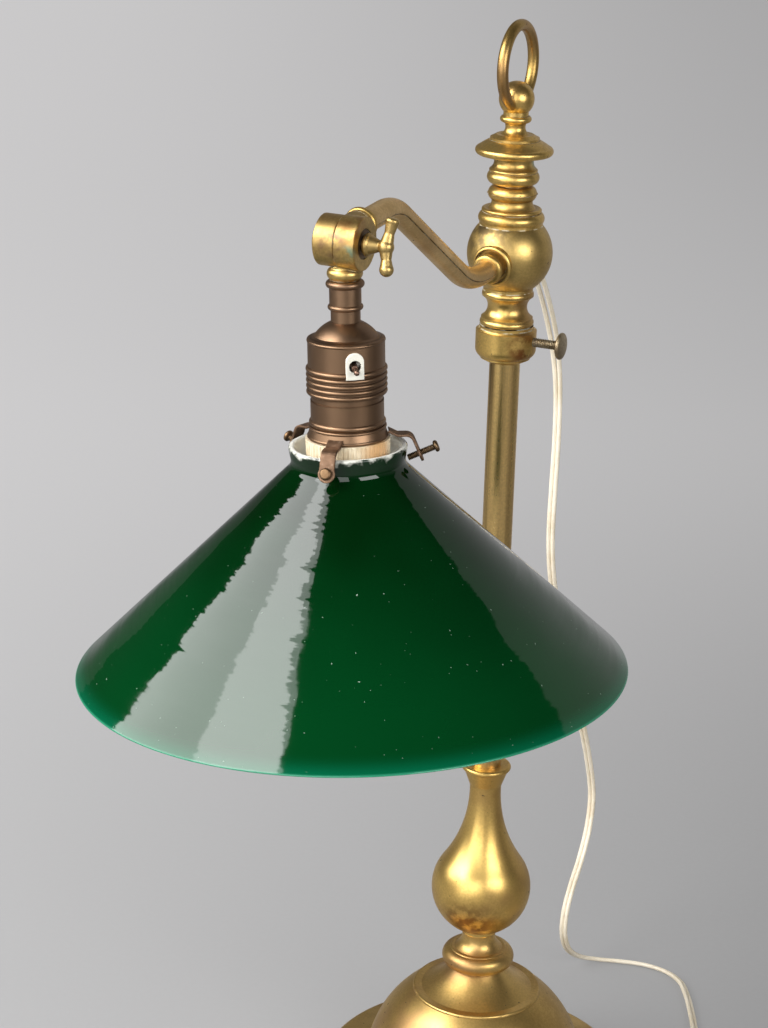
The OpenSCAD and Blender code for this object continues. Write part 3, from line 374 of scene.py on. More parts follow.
def old_brass(
    name, bright=BRIGHT, dull=DULL, rough=0.27, blush=0.5, dust=0.8, spots=(), seams=(), axis=STAND_AXIS
):
    f = Finish(name)
    patches = f.grain(34, 5)
    speckle = f.grain(820, 2)
    worn = f.step(patches * 0.7 + speckle * 0.3, 0.36, 0.66)
    colour = f.mix(worn, dull, bright)
    blushed = f.step(f.grain(21, 3, shift=(3, 7, 1)), 0.48, 0.68) * blush
    colour = f.mix(blushed, colour, BLUSH)
    blotch = f.step(f.grain(170, 4, shift=(2, 0, 5)), 0.36, 0.60)
    for place, reach, tint, share in spots:
        colour = f.mix(f.near(place, reach) * blotch * share, colour, tint)
    # Broad coves are darkened brown: painted shade.
    cove_shade = f.step(f.hollow(9 * MM, True) + patches * 0.2, 0.32, 0.72)
    colour = f.mix(cove_shade * 0.75, colour, COVE_SHADE_BROWN)
    pits = f.step(f.grain(430, 1, shift=(6, 3, 2)), 0.745, 0.79) * 0.5
    # Pits and narrow hollows are darkened: the pits are real, the hollows are part dirt and part painted
    # shade.
    hollow = f.hollow(3.5 * MM, True)
    grime_and_shade = f.step(hollow + speckle * 0.25 + pits, 0.34, 0.72)
    colour = f.mix(grime_and_shade, colour, GRIME_AND_SHADE)
    seam = f.hollow(1.1 * MM, False)
    crumbs = f.step(f.grain(260, 3, shift=(1, 2, 3)), 0.40, 0.56)
    dusty = f.step(seam, 0.36, 0.56) * crumbs * dust
    for height in seams:
        line = f.step(abs(f.axis("Z") - height), 0.45 * MM, 0.15 * MM)
        dusty = dusty + line * f.step(f.grain(240, 3), 0.42, 0.56) * 0.7
    colour = f.mix(dusty, colour, POLISH_DUST)
    turning = f.grain(2600, 1, place=f.rings(axis))
    relief = f.bump(speckle * 0.5 + turning * 0.5, 0.06 * MM, 0.35)
    roughness = rough + (1 - worn) * 0.10 + grime_and_shade * 0.25 + dusty * 0.4 + speckle * 0.06
    metallic = METAL_SHARE - dusty * 0.7 - grime_and_shade * 0.4
    return f.set(base_color=colour, metallic=metallic, roughness=roughness, normal=relief)


JOINTS = (0.5046, 0.4703, 0.4504)
aged_brass = old_brass("aged_brass", seams=JOINTS)

# %% [markdown]
# ## Brass by piece
# No two pieces of the lamp have aged alike: some are paler, some were handled more, and a few carry a
# stain that is theirs alone; the ball carries a patch of painted shade instead. One recipe serves them
# all, with a bright and a dull tone for each piece, so the lamp stays one family. A spot is a place, a
# reach, a colour and a share.

# %% Brass by piece
# This spot is painted shade, not a stain: it darkens the ball's upper front.
BALL_SHADE_SPOT = (-0.0067, -0.0183, 0.505)
ball_brass = old_brass(
    "ball_brass", bright=(0.66, 0.46, 0.16), dull=(0.47, 0.315, 0.105), rough=0.31, blush=0.3,
    seams=JOINTS, spots=((BALL_SHADE_SPOT, 0.024, (0.16, 0.112, 0.05), 0.95),),
)
base_brass = old_brass(
    "base_brass", bright=(0.715, 0.482, 0.162), dull=(0.50, 0.32, 0.10), rough=0.31, blush=0.6
)
BELLY_STAIN = (0.004, -0.026, 0.112)
NECK_STAIN = (0.014, -0.008, 0.186)
baluster_brass = old_brass(
    "baluster_brass", bright=(0.83, 0.565, 0.175), dull=(0.62, 0.40, 0.118), rough=0.28,
    spots=((BELLY_STAIN, 0.024, (0.17, 0.075, 0.028), 0.9), (NECK_STAIN, 0.009, RUST_RED, 0.9)),
)
COLLAR_STAIN = (0.0135, -0.0085, 0.442)
collar_brass = old_brass(
    "collar_brass", rough=0.29, seams=JOINTS, spots=((COLLAR_STAIN, 0.013, RUST_RED, 0.95),)
)
CAP_GREEN = (0.009, 0.004, 0.5385)
cap_brass = old_brass("cap_brass", spots=((CAP_GREEN, 0.007, VERDIGRIS, 0.8),))
ring_brass = old_brass("ring_brass", bright=(0.55, 0.365, 0.115), dull=(0.36, 0.228, 0.068))
KNUCKLE_GREEN = (0.0125, -0.2165, 0.534)
KNUCKLE_STAIN = (0.0125, -0.213, 0.545)
JOINT_STAIN = (0.0045, -0.2165, 0.537)
knuckle_brass = old_brass(
    "knuckle_brass", bright=(0.66, 0.455, 0.155), dull=(0.37, 0.245, 0.085), rough=0.29, axis=HEAD_AXIS,
    spots=(
        (KNUCKLE_STAIN, 0.011, (0.28, 0.12, 0.04), 0.8),
        (KNUCKLE_GREEN, 0.0045, VERDIGRIS, 0.6),
        (JOINT_STAIN, 0.009, (0.17, 0.085, 0.07), 0.9),
    ),
)
key_brass = old_brass(
    "key_brass", bright=(0.66, 0.47, 0.18), dull=(0.44, 0.30, 0.11), rough=0.29, blush=0.2, dust=0.3
)
arm_brass = old_brass(
    "arm_brass", bright=(0.86, 0.60, 0.28), dull=(0.62, 0.415, 0.175), rough=0.30, blush=0.25, dust=0.4
)
dark_brass = old_brass(
    "dark_brass", bright=(0.24, 0.165, 0.09), dull=(0.12, 0.075, 0.04), rough=0.34, blush=0.3, dust=0.3
)
thumb_brass = old_brass(
    "thumb_brass", bright=(0.50, 0.41, 0.26), dull=(0.27, 0.20, 0.12), rough=0.34, blush=0.2, dust=0.6
)

# %% [markdown]
# ## The pole
# The pole is drawn tube. Years of sliding have left dark streaks along it, so its noise is
# pulled out along Z by a Mapping node and stays fine across it.

# %% Pole brass
def streaked_brass():
    f = Finish("pole_brass")
    streaks = f.grain(1, 4, stretch=(420, 420, 9))
    broad = f.grain(1, 3, stretch=(150, 150, 2.5), shift=(2, 5, 0))
    speckle = f.grain(700, 2)
    worn = f.step(streaks * 0.4 + broad * 0.4 + speckle * 0.2, 0.40, 0.62)
    colour = f.mix(worn, (0.56, 0.375, 0.15), (0.90, 0.62, 0.238))
    dark = f.step(broad, 0.54, 0.68) * 0.8
    colour = f.mix(dark, colour, (0.19, 0.122, 0.052))
    relief = f.bump(streaks, 0.05 * MM, 0.3)
    return f.set(base_color=colour, metallic=1.0, roughness=0.27 + (1 - worn) * 0.12, normal=relief)


pole_brass = streaked_brass()

# %% [markdown]
# ## Brown lampholder
# The holder was chemically browned at the works. The brown has rubbed through to copper on the edges, and
# the grooves are darkened nearly to black, part dirt and part painted shade. A pointiness test would need
# dense meshes, so the edge wear is found with a second ambient occlusion that looks into the metal instead
# of out of it. The gallery's strips are the same metal with less care taken of it: rougher, redder and
# specked.

# %% Browned brass
def browned_brass():
    f = Finish("brown_brass")
    patches = f.grain(60, 5)
    speckle = f.grain(900, 2)
    colour = f.mix(f.step(patches, 0.35, 0.65), (0.060, 0.036, 0.021), (0.100, 0.061, 0.036))
    edge = f.openness(0.9 * MM, True, inside=True)
    rubbed = f.step(edge + speckle * 0.2, 0.50, 0.85) * 0.75
    colour = f.mix(rubbed, colour, (0.30, 0.185, 0.11))
    # The grooves are darkened nearly to black, part dirt and part painted shade.
    hollow = f.hollow(2.2 * MM, True)
    grime_and_shade = f.step(hollow + speckle * 0.25, 0.40, 0.78)
    colour = f.mix(grime_and_shade, colour, (0.045, 0.026, 0.016))
    relief = f.bump(speckle, 0.05 * MM, 0.3)
    roughness = 0.40 + speckle * 0.08 - rubbed * 0.06 + grime_and_shade * 0.2
    return f.set(base_color=colour, metallic=1 - grime_and_shade * 0.4, roughness=roughness, normal=relief)


brown_brass = browned_brass()


def rusty_strip():
    f = Finish("gallery_strip")
    speckle = f.grain(600, 4)
    patches = f.grain(150, 4)
    colour = f.mix(f.step(patches, 0.35, 0.65), (0.115, 0.066, 0.038), (0.24, 0.145, 0.09))
    colour = f.mix(f.step(speckle, 0.60, 0.72) * 0.6, colour, (0.30, 0.22, 0.16))
    relief = f.bump(speckle, 0.12 * MM, 0.6)
    return f.set(base_color=colour, metallic=0.8, roughness=0.45 + speckle * 0.15, normal=relief)


strip_brass = rusty_strip()

# %% [markdown]
# ## Cased glass
# The shade is white glass with a skin of deep green. It was turned while it was soft, which left broad
# waves and fine ripples round it. They tear the edges of every reflection, so the bump is noise that is
# quick along Z and slow round the axis. The green grows lighter towards the rim, glows in the last few
# millimetres, where light comes through, and is worn off the lip, where the white shows.

# %% Green glass
LIP_Z = -0.0918
RIM_Z = -0.198


def green_glass():
    f = Finish("green_glass")
    height = f.along(HEAD_UP) - KNUCKLE.dot(HEAD_UP)
    cloud = f.grain(13, 2)
    low = f.step(height, LIP_Z - 0.02, RIM_Z + 0.01)
    deep = f.mix(f.step(cloud, 0.3, 0.7), (0.0002, 0.008, 0.0007), (0.0003, 0.020, 0.0034))
    body = f.mix(low * 0.8, deep, (0.0004, 0.040, 0.0082))
    glow = f.step(height, RIM_Z + 0.009, RIM_Z)
    body = f.mix(glow * glow * 0.7, body, (0.001, 0.115, 0.052))
    # The last millimetre of the rim is a pale mint line: partly the cut edge's own colour, partly painted
    # light caught by the edge.
    rim = f.step(height, RIM_Z + 0.0014, RIM_Z + 0.0004)
    colour = f.mix(rim, body, (0.03, 0.24, 0.135))
    worn = f.step(height + f.grain(150, 5) * 0.013, LIP_Z + 0.0042, LIP_Z + 0.0066)
    colour = f.mix(worn * 0.95, colour, (0.72, 0.72, 0.64))
    specks = f.step(f.grain(800, 0, shift=(5, 1, 2)), 0.845, 0.865) * f.step(f.grain(60, 2), 0.4, 0.6)
    colour = f.mix(specks * 0.5, colour, (0.4, 0.5, 0.42))
    waves = f.grain(1, 1, stretch=(18, 18, 40), shift=(2, 6, 4)) * 3.0
    ripples = f.grain(1, 2, stretch=(9, 9, 165))
    ripples = ripples + f.grain(1, 2, stretch=(22, 22, 430), shift=(4, 2, 9)) * 0.15
    relief = f.bump(waves + ripples * 0.75, 0.5 * MM)
    return f.set(base_color=colour, roughness=0.06 + specks * 0.4 + worn * 0.2, normal=relief, ior=1.5)


shade_green = green_glass()


def milk_glass(name, tint, rough):
    f = Finish(name)
    cloud = f.grain(40, 3)
    colour = f.mix(f.step(cloud, 0.3, 0.7), tint, tuple(c * 0.93 for c in tint))
    relief = f.bump(f.grain(90, 2), 0.05 * MM, 0.3)
    return f.set(base_color=colour, roughness=rough + cloud * 0.05, normal=relief)


shade_white = milk_glass("shade_white", (0.80, 0.80, 0.74), 0.12)
porcelain = milk_glass("porcelain", (0.78, 0.76, 0.70), 0.18)
plate_cream = milk_glass("plate_cream", (0.80, 0.78, 0.68), 0.30)

# %% [markdown]
# ## Flex, ring and the rest
# The flex is cream plastic that has yellowed and picked up dirt. The ring in the shade's neck is
# ivory-coloured with an orange tint on one side, and its grooves are darkened with painted shade. The
# weight, the lever and the steel pins are plain metals, and the foot is felt. Two grains and one mix are
# enough for each of these.

# %% Plastics, felt and iron
def soft_plastic(name, tint, dirt, rough):
    f = Finish(name)
    blotch = f.grain(45, 4)
    speckle = f.grain(500, 2)
    colour = f.mix(f.step(blotch * 0.7 + speckle * 0.3, 0.38, 0.68), tint, dirt)
    relief = f.bump(speckle, 0.05 * MM, 0.25)
    return f.set(base_color=colour, roughness=rough + blotch * 0.12, normal=relief)


flex_cream = soft_plastic("flex_cream", (0.88, 0.80, 0.65), (0.76, 0.66, 0.49), 0.36)
plug_cream = soft_plastic("plug_cream", (0.74, 0.67, 0.53), (0.64, 0.55, 0.41), 0.32)


def ivory_ring():
    f = Finish("ivory_ring")
    browned = f.near(head_point(19, -6, -91.8), 0.012)
    colour = f.mix(f.step(f.grain(200, 3), 0.35, 0.65), (0.80, 0.70, 0.52), (0.68, 0.56, 0.38))
    colour = f.mix(browned * 0.8, colour, (0.66, 0.36, 0.13))
    # The grooves between the ribs are darkened brown: painted shade.
    colour = f.mix(f.step(f.hollow(1.5 * MM, True), 0.35, 0.8) * 0.7, colour, (0.36, 0.24, 0.12))
    return f.set(base_color=colour, roughness=0.42 + f.grain(300, 2) * 0.1)


ring_ivory = ivory_ring()


def plain_metal(name, tint, rough):
    f = Finish(name)
    patches = f.grain(50, 4)
    speckle = f.grain(600, 3)
    colour = f.mix(f.step(patches * 0.5 + speckle * 0.5, 0.35, 0.65), tint, tuple(c * 0.6 for c in tint))
    relief = f.bump(speckle, 0.08 * MM, 0.4)
    return f.set(base_color=colour, metallic=1.0, roughness=rough + speckle * 0.15, normal=relief)


weight_iron = plain_metal("weight_iron", (0.13, 0.12, 0.115), 0.5)
lever_brown = plain_metal("lever_brown", (0.30, 0.185, 0.135), 0.36)
bare_steel = plain_metal("bare_steel", (0.52, 0.51, 0.49), 0.26)


def green_felt():
    f = Finish("base_felt")
    fibres = f.grain(1, 4, stretch=(900, 900, 900))
    colour = f.mix(f.step(fibres, 0.3, 0.7), (0.012, 0.045, 0.028), (0.03, 0.085, 0.055))
    return f.set(base_color=colour, roughness=0.95, sheen_weight=0.4, normal=f.bump(fibres, 0.3 * MM, 0.8))


base_felt = green_felt()

# %% [markdown]
# ## Dressing the solids
# Every solid of the frame already has a slot that says what it is made of. A finish per slot dresses
# them all, and the few pieces that aged in their own way are named one by one.

# %% Finishes of the solids that stay
finish_of_slot = {
    "aged_brass": aged_brass, "pole_brass": pole_brass, "dark_brass": dark_brass,
    "brown_brass": brown_brass, "bright_brass": key_brass, "iron": weight_iron, "steel": bare_steel,
    "felt": base_felt, "porcelain": porcelain, "cream_plastic": plate_cream, "cream_ring": ring_ivory,
    "green_glass": shade_green, "flex": flex_cream, "plug_plastic": plug_cream,
}
finish_of_node = {
    "base_shell": base_brass, "stem_foot": base_brass, "baluster": baluster_brass, "ball": ball_brass,
    "height_collar": collar_brass, "finial_cap": cap_brass, "finial_ring": ring_brass,
}
for node, obj in frame["nodes"].items():
    obj.data.materials.clear()
    obj.data.materials.append(finish_of_node.get(node, finish_of_slot[slot_of[node]]))
print("dressed", len(frame["nodes"]), "solids")

# %% [markdown]
# ## Making a piece
# A new piece starts as a bmesh, becomes an object at the origin with its place in its mesh, and rides on
# the body of the solid that it stands for.

# %% Piece helpers
body_of_node = {n: body for body, nodes in frame["record"]["behaviour"]["bodies"].items() for n in nodes}
SHARP = math.radians(42)


def mesh_from(name, bm):
    mesh = bpy.data.meshes.new(name)
    bm.to_mesh(mesh)
    bm.free()
    return mesh


def absorb(bm, other):
    mesh = mesh_from("absorbed", other)
    bm.from_mesh(mesh)
    bpy.data.meshes.remove(mesh)


def place_piece(name, mesh, finish, *nodes):
    mesh.shade_smooth()
    mesh.set_sharp_from_angle(angle=SHARP)
    mesh.materials.clear()
    mesh.materials.append(finish)
    obj = add_object(name, mesh)
    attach(obj, body_of_node[nodes[0]])
    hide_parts(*nodes)
    print(name, "faces", len(mesh.polygons), "for", ", ".join(nodes))
    return obj


def verts_of(made):
    return [g for g in made if isinstance(g, bmesh.types.BMVert)]


def edges_of(made):
    return [g for g in made if isinstance(g, bmesh.types.BMEdge)]


def wire(points, closed, rounds=()):
    bm = bmesh.new()
    verts = [bm.verts.new((x, 0, z)) for x, z in points]
    ends = verts[1:] + verts[:1] if closed else verts[1:]
    for a, b in zip(verts, ends):
        bm.edges.new((a, b))
    for index, radius in rounds:
        bmesh.ops.bevel(
            bm, geom=[verts[index]], offset=radius, segments=5, profile=0.5, affect="VERTICES",
            material=-1,
        )
    return bm


def spin_round(bm, steps):
    bmesh.ops.spin(
        bm, geom=bm.verts[:] + bm.edges[:], axis=(0, 0, 1), cent=(0, 0, 0), angle=2 * math.pi,
        steps=steps, use_merge=True,
    )
    bmesh.ops.remove_doubles(bm, verts=bm.verts, dist=1e-5)
    bmesh.ops.recalc_face_normals(bm, faces=bm.faces)
    return bm


def to_place(bm, matrix):
    bmesh.ops.transform(bm, matrix=matrix @ Matrix.Scale(MM, 4), verts=bm.verts)
    return bm


print("nodes that ride on a body", len(body_of_node))

# %% [markdown]
# ## The glass shade
# A shade like this is blown into a turned mould, so its whole form is one outline spun round the lamp's
# head. The outline's corners are rounded first, on the wire, with a vertex bevel: a full round at
# the rim and the lip, and a soft crease at the waist. Faces that look inwards get the white glass.

# %% Shade
SHADE_OUTLINE = [(26.9, -91.8), (25.3, -100.5), (127, -198), (122.66, -198), (22.3, -101.8), (23.9, -91.8)]
SHADE_ROUNDS = [(0, 1.3), (1, 2.6), (2, 1.3), (3, 1.3), (4, 2.0), (5, 1.3)]
SHADE_STEPS = 192
OUTSIDE_SHARE = 0.35
shade_bm = to_place(spin_round(wire(SHADE_OUTLINE, True, SHADE_ROUNDS), SHADE_STEPS), at_head)
shade = place_piece("glass_shade", mesh_from("glass_shade", shade_bm), shade_green, "shade")
shade.data.materials.append(shade_white)
to_head = at_head.inverted()
for face in shade.data.polygons:
    middle = to_head @ face.center
    outward = Vector((middle.x, middle.y, 0)).normalized()
    facing = (to_head.to_3x3() @ face.normal).dot(outward)
    face.material_index = 0 if facing > OUTSIDE_SHARE else 1

# %% [markdown]
# ## The arm
# The arm was bent from drawn tube with an open seam, and the seam shows as a dark line along its side. A
# ring of vertices gets a notch, then goes the way the tube goes: extruded along the straights
# and spun round the middle of each bend.

# %% Arm tube
BALL = Vector((0, 0, 489.755))
TUBE_R = 5.5
TUBE_SIDES = 96
SEAM_ANGLE = math.radians(-14)
SEAM_DEPTH = 0.5
DROOP, CLIMB, DIP = (math.radians(a) for a in (6, 31, 4))
ARM_IN, ARM_START, CLIMB_L, END_L = 16, 34, 79.2, 48.87 - 12.7
LOW_BEND_R, HIGH_BEND_R = 55, 35


def along(slope, length):
    return Vector((0, -math.cos(slope) * length, math.sin(slope) * length))


def arm_tube():
    bm = bmesh.new()
    ring = bmesh.ops.create_circle(bm, segments=TUBE_SIDES, radius=TUBE_R, cap_ends=False)["verts"]
    seam_place = TUBE_R * Vector((math.cos(SEAM_ANGLE), math.sin(SEAM_ANGLE), 0))
    seam = min(ring, key=lambda vert: (vert.co - seam_place).length)
    seam.co *= 1 - SEAM_DEPTH / TUBE_R
    start = Matrix.Translation(BALL + along(-DROOP, ARM_IN))
    bmesh.ops.transform(bm, verts=bm.verts, matrix=start @ Matrix.Rotation(math.pi / 2 + DROOP, 4, "X"))
    edges = bm.edges[:]

    def straight(edges, slope, length, parts):
        for _ in range(parts):
            made = bmesh.ops.extrude_edge_only(bm, edges=edges)["geom"]
            verts = verts_of(made)
            bmesh.ops.translate(bm, verts=verts, vec=along(slope, length / parts))
            edges = [edge for edge in edges_of(made) if all(vert in verts for vert in edge.verts)]
        return edges

    def bend(edges, middle, angle, steps):
        geom = edges + list({v for e in edges for v in e.verts})
        made = bmesh.ops.spin(bm, geom=geom, cent=middle, axis=(1, 0, 0), angle=angle, steps=steps)
        return edges_of(made["geom_last"])

    edges = straight(edges, -DROOP, ARM_START - ARM_IN, 2)
    above_droop = Vector((0, -math.sin(DROOP), math.cos(DROOP)))
    below_climb = Vector((0, -math.sin(CLIMB), -math.cos(CLIMB)))
    low_middle = BALL + along(-DROOP, ARM_START) + LOW_BEND_R * above_droop
    edges = bend(edges, low_middle, -(CLIMB + DROOP), 28)
    climb_start = low_middle + LOW_BEND_R * below_climb
    edges = straight(edges, CLIMB, CLIMB_L, 8)
    high_middle = climb_start + along(CLIMB, CLIMB_L) + HIGH_BEND_R * below_climb
    edges = bend(edges, high_middle, CLIMB + DIP, 22)
    edges = straight(edges, -DIP, END_L, 4)
    bmesh.ops.holes_fill(bm, edges=bm.edges, sides=0)
    bmesh.ops.recalc_face_normals(bm, faces=bm.faces)
    return to_place(bm, Matrix.Identity(4))


place_piece("arm_pipe", mesh_from("arm_pipe", arm_tube()), arm_brass, "arm_tube")

# %% [markdown]
# ## Threaded screws
# A thread is a small outline that moves along the axis while it turns, which is what spin does when it is
# given a step along the axis. The loose ends are cut square with a plane and closed. The head is a second
# outline spun round the same axis. A rod is given by its radius, the thread's depth and pitch, and the
# places of its two ends.

# %% Screws
THREAD_STEPS = 28
HEAD_STEPS = 48


def thread(radius, depth, pitch, low, high):
    turns = math.ceil((high - low) / pitch) + 2
    tooth = [(radius - depth, 0), (radius, 0.35), (radius, 0.55), (radius - depth, 0.9)]
    points = [(r, low + (k - 1 + t) * pitch) for k in range(turns) for r, t in tooth]
    bm = wire(points, False)
    bmesh.ops.spin(
        bm, geom=bm.verts[:] + bm.edges[:], axis=(0, 0, 1), cent=(0, 0, 0), angle=2 * math.pi,
        steps=THREAD_STEPS, dvec=(0, 0, pitch / THREAD_STEPS),
    )
    bmesh.ops.remove_doubles(bm, verts=bm.verts, dist=1e-4)
    for end, facing in ((low, -1), (high, 1)):
        geom = bm.verts[:] + bm.edges[:] + bm.faces[:]
        bmesh.ops.bisect_plane(
            bm, geom=geom, plane_co=(0, 0, end), plane_no=(0, 0, facing), clear_outer=True
        )
    bmesh.ops.holes_fill(bm, edges=bm.edges, sides=0)
    bmesh.ops.recalc_face_normals(bm, faces=bm.faces)
    return bm


def screw(name, node, rod, head, rounds, finish, matrix):
    bm = thread(*rod)
    absorb(bm, spin_round(wire(head, False, rounds), HEAD_STEPS))
    place_piece(name, mesh_from(name, to_place(bm, matrix)), finish, node)


SCREW_Z = 444.319
THUMB_ROD = (2.4, 0.45, 0.95, 8.45, 30.0)
THUMB_HEAD = [(0, 29.3), (6.0, 29.3), (7.0, 30.0), (7.0, 31.2), (5.6, 32.0), (0, 32.5)]
THUMB_ROUNDS = [(1, 0.4), (2, 0.5), (3, 0.5), (4, 0.8)]
screw(
    "thumb_screw_piece", "thumb_screw", THUMB_ROD, THUMB_HEAD, THUMB_ROUNDS, thumb_brass,
    Matrix.Translation((0, 0, SCREW_Z * MM)) @ Matrix.Rotation(math.pi / 2, 4, "Y"),
)
GRIP_PLACE = Vector((31.479, 0, -96.752)) * MM
GRIP_LEAN = math.radians(90 - 22)
GRIP_ROUNDS = [(1, 0.2), (2, 0.25), (3, 0.35), (4, 0.3)]
STRIP_T = 1.2
for side_name, turn, bare in (("front", 9, 0.2), ("right", 117, 6.4), ("left", 254, 3.4)):
    low = STRIP_T + bare
    grip_rod = (1.5, 0.26, 0.7, -5.09, low + 1)
    grip_head = [(0, low), (2.2, low), (2.7, low + 0.5), (2.7, low + 1.4), (2.0, low + 2.0), (0, low + 2.0)]
    round_neck = at_head @ Matrix.Rotation(math.radians(turn - 90), 4, "Z")
    screw(
        "grip_screw_" + side_name, "gallery_screw_" + side_name, grip_rod, grip_head, GRIP_ROUNDS,
        dark_brass, round_neck @ Matrix.Translation(GRIP_PLACE) @ Matrix.Rotation(GRIP_LEAN, 4, "Y"),
    )

# %% [markdown]
# ## Castings
# The knuckle and the wing key are small castings whose corners the foundry and the years have softened. The
# gallery's strips, the switch and the plug have soft corners too. The solid is copied, its loose triangles
# are merged, and a voxel remesh with a few rounds of smoothing melts its edges and joints together. The
# smoothing thins the wing key, so it is swelled a little afterwards.

# %% Castings
def casting(name, node, voxel, rounds, finish, swell=0.0):
    source = add_object(name + "_copy", frame["nodes"][node].data.copy())
    bm = bmesh.new()
    bm.from_mesh(source.data)
    bmesh.ops.remove_doubles(bm, verts=bm.verts, dist=1e-7)
    bm.to_mesh(source.data)
    bm.free()
    remesh = source.modifiers.new("melt", "REMESH")
    remesh.mode = "VOXEL"
    remesh.voxel_size = voxel * MM
    smooth = source.modifiers.new("polish", "SMOOTH")
    smooth.iterations = rounds
    if swell:
        fuller = source.modifiers.new("fuller", "DISPLACE")
        fuller.mid_level = 0.0
        fuller.strength = swell * MM
    return place_piece(name, settled_mesh(source), finish, node)


casting("wing_key", "wing_screw", 0.22, 10, key_brass, swell=0.6)
casting("knuckle_arm_side", "arm_knuckle", 0.30, 3, knuckle_brass)
casting("knuckle_head_side", "head_knuckle", 0.30, 3, knuckle_brass)
casting("gallery_strips", "gallery_arms", 0.25, 4, strip_brass)
casting("switch_cover", "switch_plate", 0.20, 4, plate_cream)
casting("switch_toggle", "switch_lever", 0.15, 4, lever_brown)
plug_piece = casting("plug_moulding", "plug_body", 0.50, 8, plug_cream)

# %% [markdown]
# ## The flex's tie and the finished flex
# The tie is a strap with rounded corners round the coil: four corners, beveled on the wire, extruded to
# the strap's width and thickened. The two flexes are shaded smooth, dressed in the flex's finish and have
# their places baked into their meshes, and the frame's own flex and coil are hidden.

# %% Tie and cords
tie_low, tie_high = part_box("cord_tie")
STRAP_T = 0.9
STRAP_CORNER_R = 2.6


def strap():
    low_y, low_z = tie_low.y / MM, tie_low.z / MM
    high_y, high_z = tie_high.y / MM, tie_high.z / MM
    corners = [(low_y, low_z), (high_y, low_z), (high_y, high_z), (low_y, high_z)]
    bm = wire(corners, True, [(k, STRAP_CORNER_R) for k in range(4)])
    made = bmesh.ops.extrude_edge_only(bm, edges=bm.edges[:])["geom"]
    width = (tie_high.x - tie_low.x) / MM
    bmesh.ops.translate(bm, verts=verts_of(made), vec=(0, width, 0))
    bmesh.ops.recalc_face_normals(bm, faces=bm.faces)
    bmesh.ops.solidify(bm, geom=bm.faces[:], thickness=STRAP_T)
    to_place(bm, Matrix(((0, 1, 0, tie_low.x), (1, 0, 0, 0), (0, 0, 1, 0), (0, 0, 0, 1))))
    bmesh.ops.recalc_face_normals(bm, faces=bm.faces)
    return bm


tie_piece = place_piece("coil_strap", mesh_from("coil_strap", strap()), plug_cream, "cord_tie")
for flex in (flex_upper, flex_lower):
    flex.data.shade_smooth()
    flex.data.materials.clear()
    flex.data.materials.append(flex_cream)
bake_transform(flex_upper)
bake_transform(flex_lower)
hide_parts("cord_drop")
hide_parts("cord_drop", "cord_coil")

# %% [markdown]
# ## Floor and backdrop
# A pale sweep runs under the lamp and curves up into a far wall behind it. It glows a little by itself,
# more on the left, as paper does that stands in the spill of a big light. Where the brass and the glass
# mirror its left side it is darker, as if a dark corner of the room stood there. Far from the lamp the
# floor fades into the tone of the room, so no horizon shows from behind.

# %% Sweep
PICTURE_RIGHT = Vector((math.cos(TURN), math.sin(TURN), 0))
PICTURE_BACK = Vector((-math.sin(TURN), math.cos(TURN), 0))
ROOM_TONE = (0.40, 0.40, 0.403)
WALL_LEFT = 4.2
WALL_BACK = 7
WALL_TOP = 14
WALL_ROUND = 4
FLOOR_REACH = 25


def sweep_paper():
    f = Finish("sweep_paper")
    weave = f.grain(260, 3)
    colour = f.mix(weave, (0.125, 0.125, 0.126), (0.14, 0.14, 0.141))
    rightward = f.step(f.along(PICTURE_RIGHT), -1.0, 1.0)
    floor_spill = f.mix(rightward, (0.47, 0.465, 0.467), (0.045, 0.0445, 0.0445))
    wall_spill = f.mix(rightward, (0.56, 0.552, 0.556), (0.345, 0.341, 0.343))
    behind = f.step(f.along(PICTURE_BACK), 0.0, 1.4)
    spill = f.mix(behind, floor_spill, wall_spill)
    mirrored = f.node("ShaderNodeLightPath", output="Is Glossy Ray")
    spill = f.mix(mirrored * (1 - rightward) * 0.85, spill, (0.0, 0.0, 0.0))
    far = f.step(abs(f.along(PICTURE_RIGHT)) + abs(f.along(PICTURE_BACK)), 1.6, 5.0)
    spill = f.mix(far * (1 - behind) * (1 - mirrored), spill, ROOM_TONE)
    return f.set(base_color=colour, roughness=0.9, emission_color=spill, emission_strength=1.0)


def paper_sheet(profile, rounds, start, end):
    sheet = wire(profile, False, rounds)
    made = bmesh.ops.extrude_edge_only(sheet, edges=sheet.edges[:])["geom"]
    bmesh.ops.translate(sheet, verts=sheet.verts, vec=(0, start, 0))
    bmesh.ops.translate(sheet, verts=verts_of(made), vec=(0, end - start, 0))
    return sheet


wall_profile = [(-FLOOR_REACH, 0), (WALL_BACK, 0), (WALL_BACK, WALL_TOP)]
floor_profile = [(-FLOOR_REACH, 0), (FLOOR_REACH, 0)]
sweep_bm = paper_sheet(wall_profile, [(1, WALL_ROUND)], -FLOOR_REACH, WALL_LEFT)
absorb(sweep_bm, paper_sheet(floor_profile, [], WALL_LEFT, FLOOR_REACH))
to_picture = Matrix.Rotation(math.pi / 2 + TURN, 3, "Z")
bmesh.ops.rotate(sweep_bm, verts=sweep_bm.verts, cent=(0, 0, 0), matrix=to_picture)
bmesh.ops.recalc_face_normals(sweep_bm, faces=sweep_bm.faces)
sweep_mesh = mesh_from("sweep", sweep_bm)
sweep_mesh.shade_smooth()
sweep_mesh.materials.append(sweep_paper())
add_object("sweep", sweep_mesh)
print("sweep faces", len(sweep_mesh.polygons))

# %% [markdown]
# ## Lights
# A round umbrella stands high on the left and draws the long pale strip on the glass. It is brighter
# towards its right, so a second, smaller one lies over it as its core. A narrow softbox on the right
# draws the second line on the belly and the ball, and a broad, weak one in front fills the shadows. An
# area light's power is spread over its face, so it is worked out from the glow that is wanted.

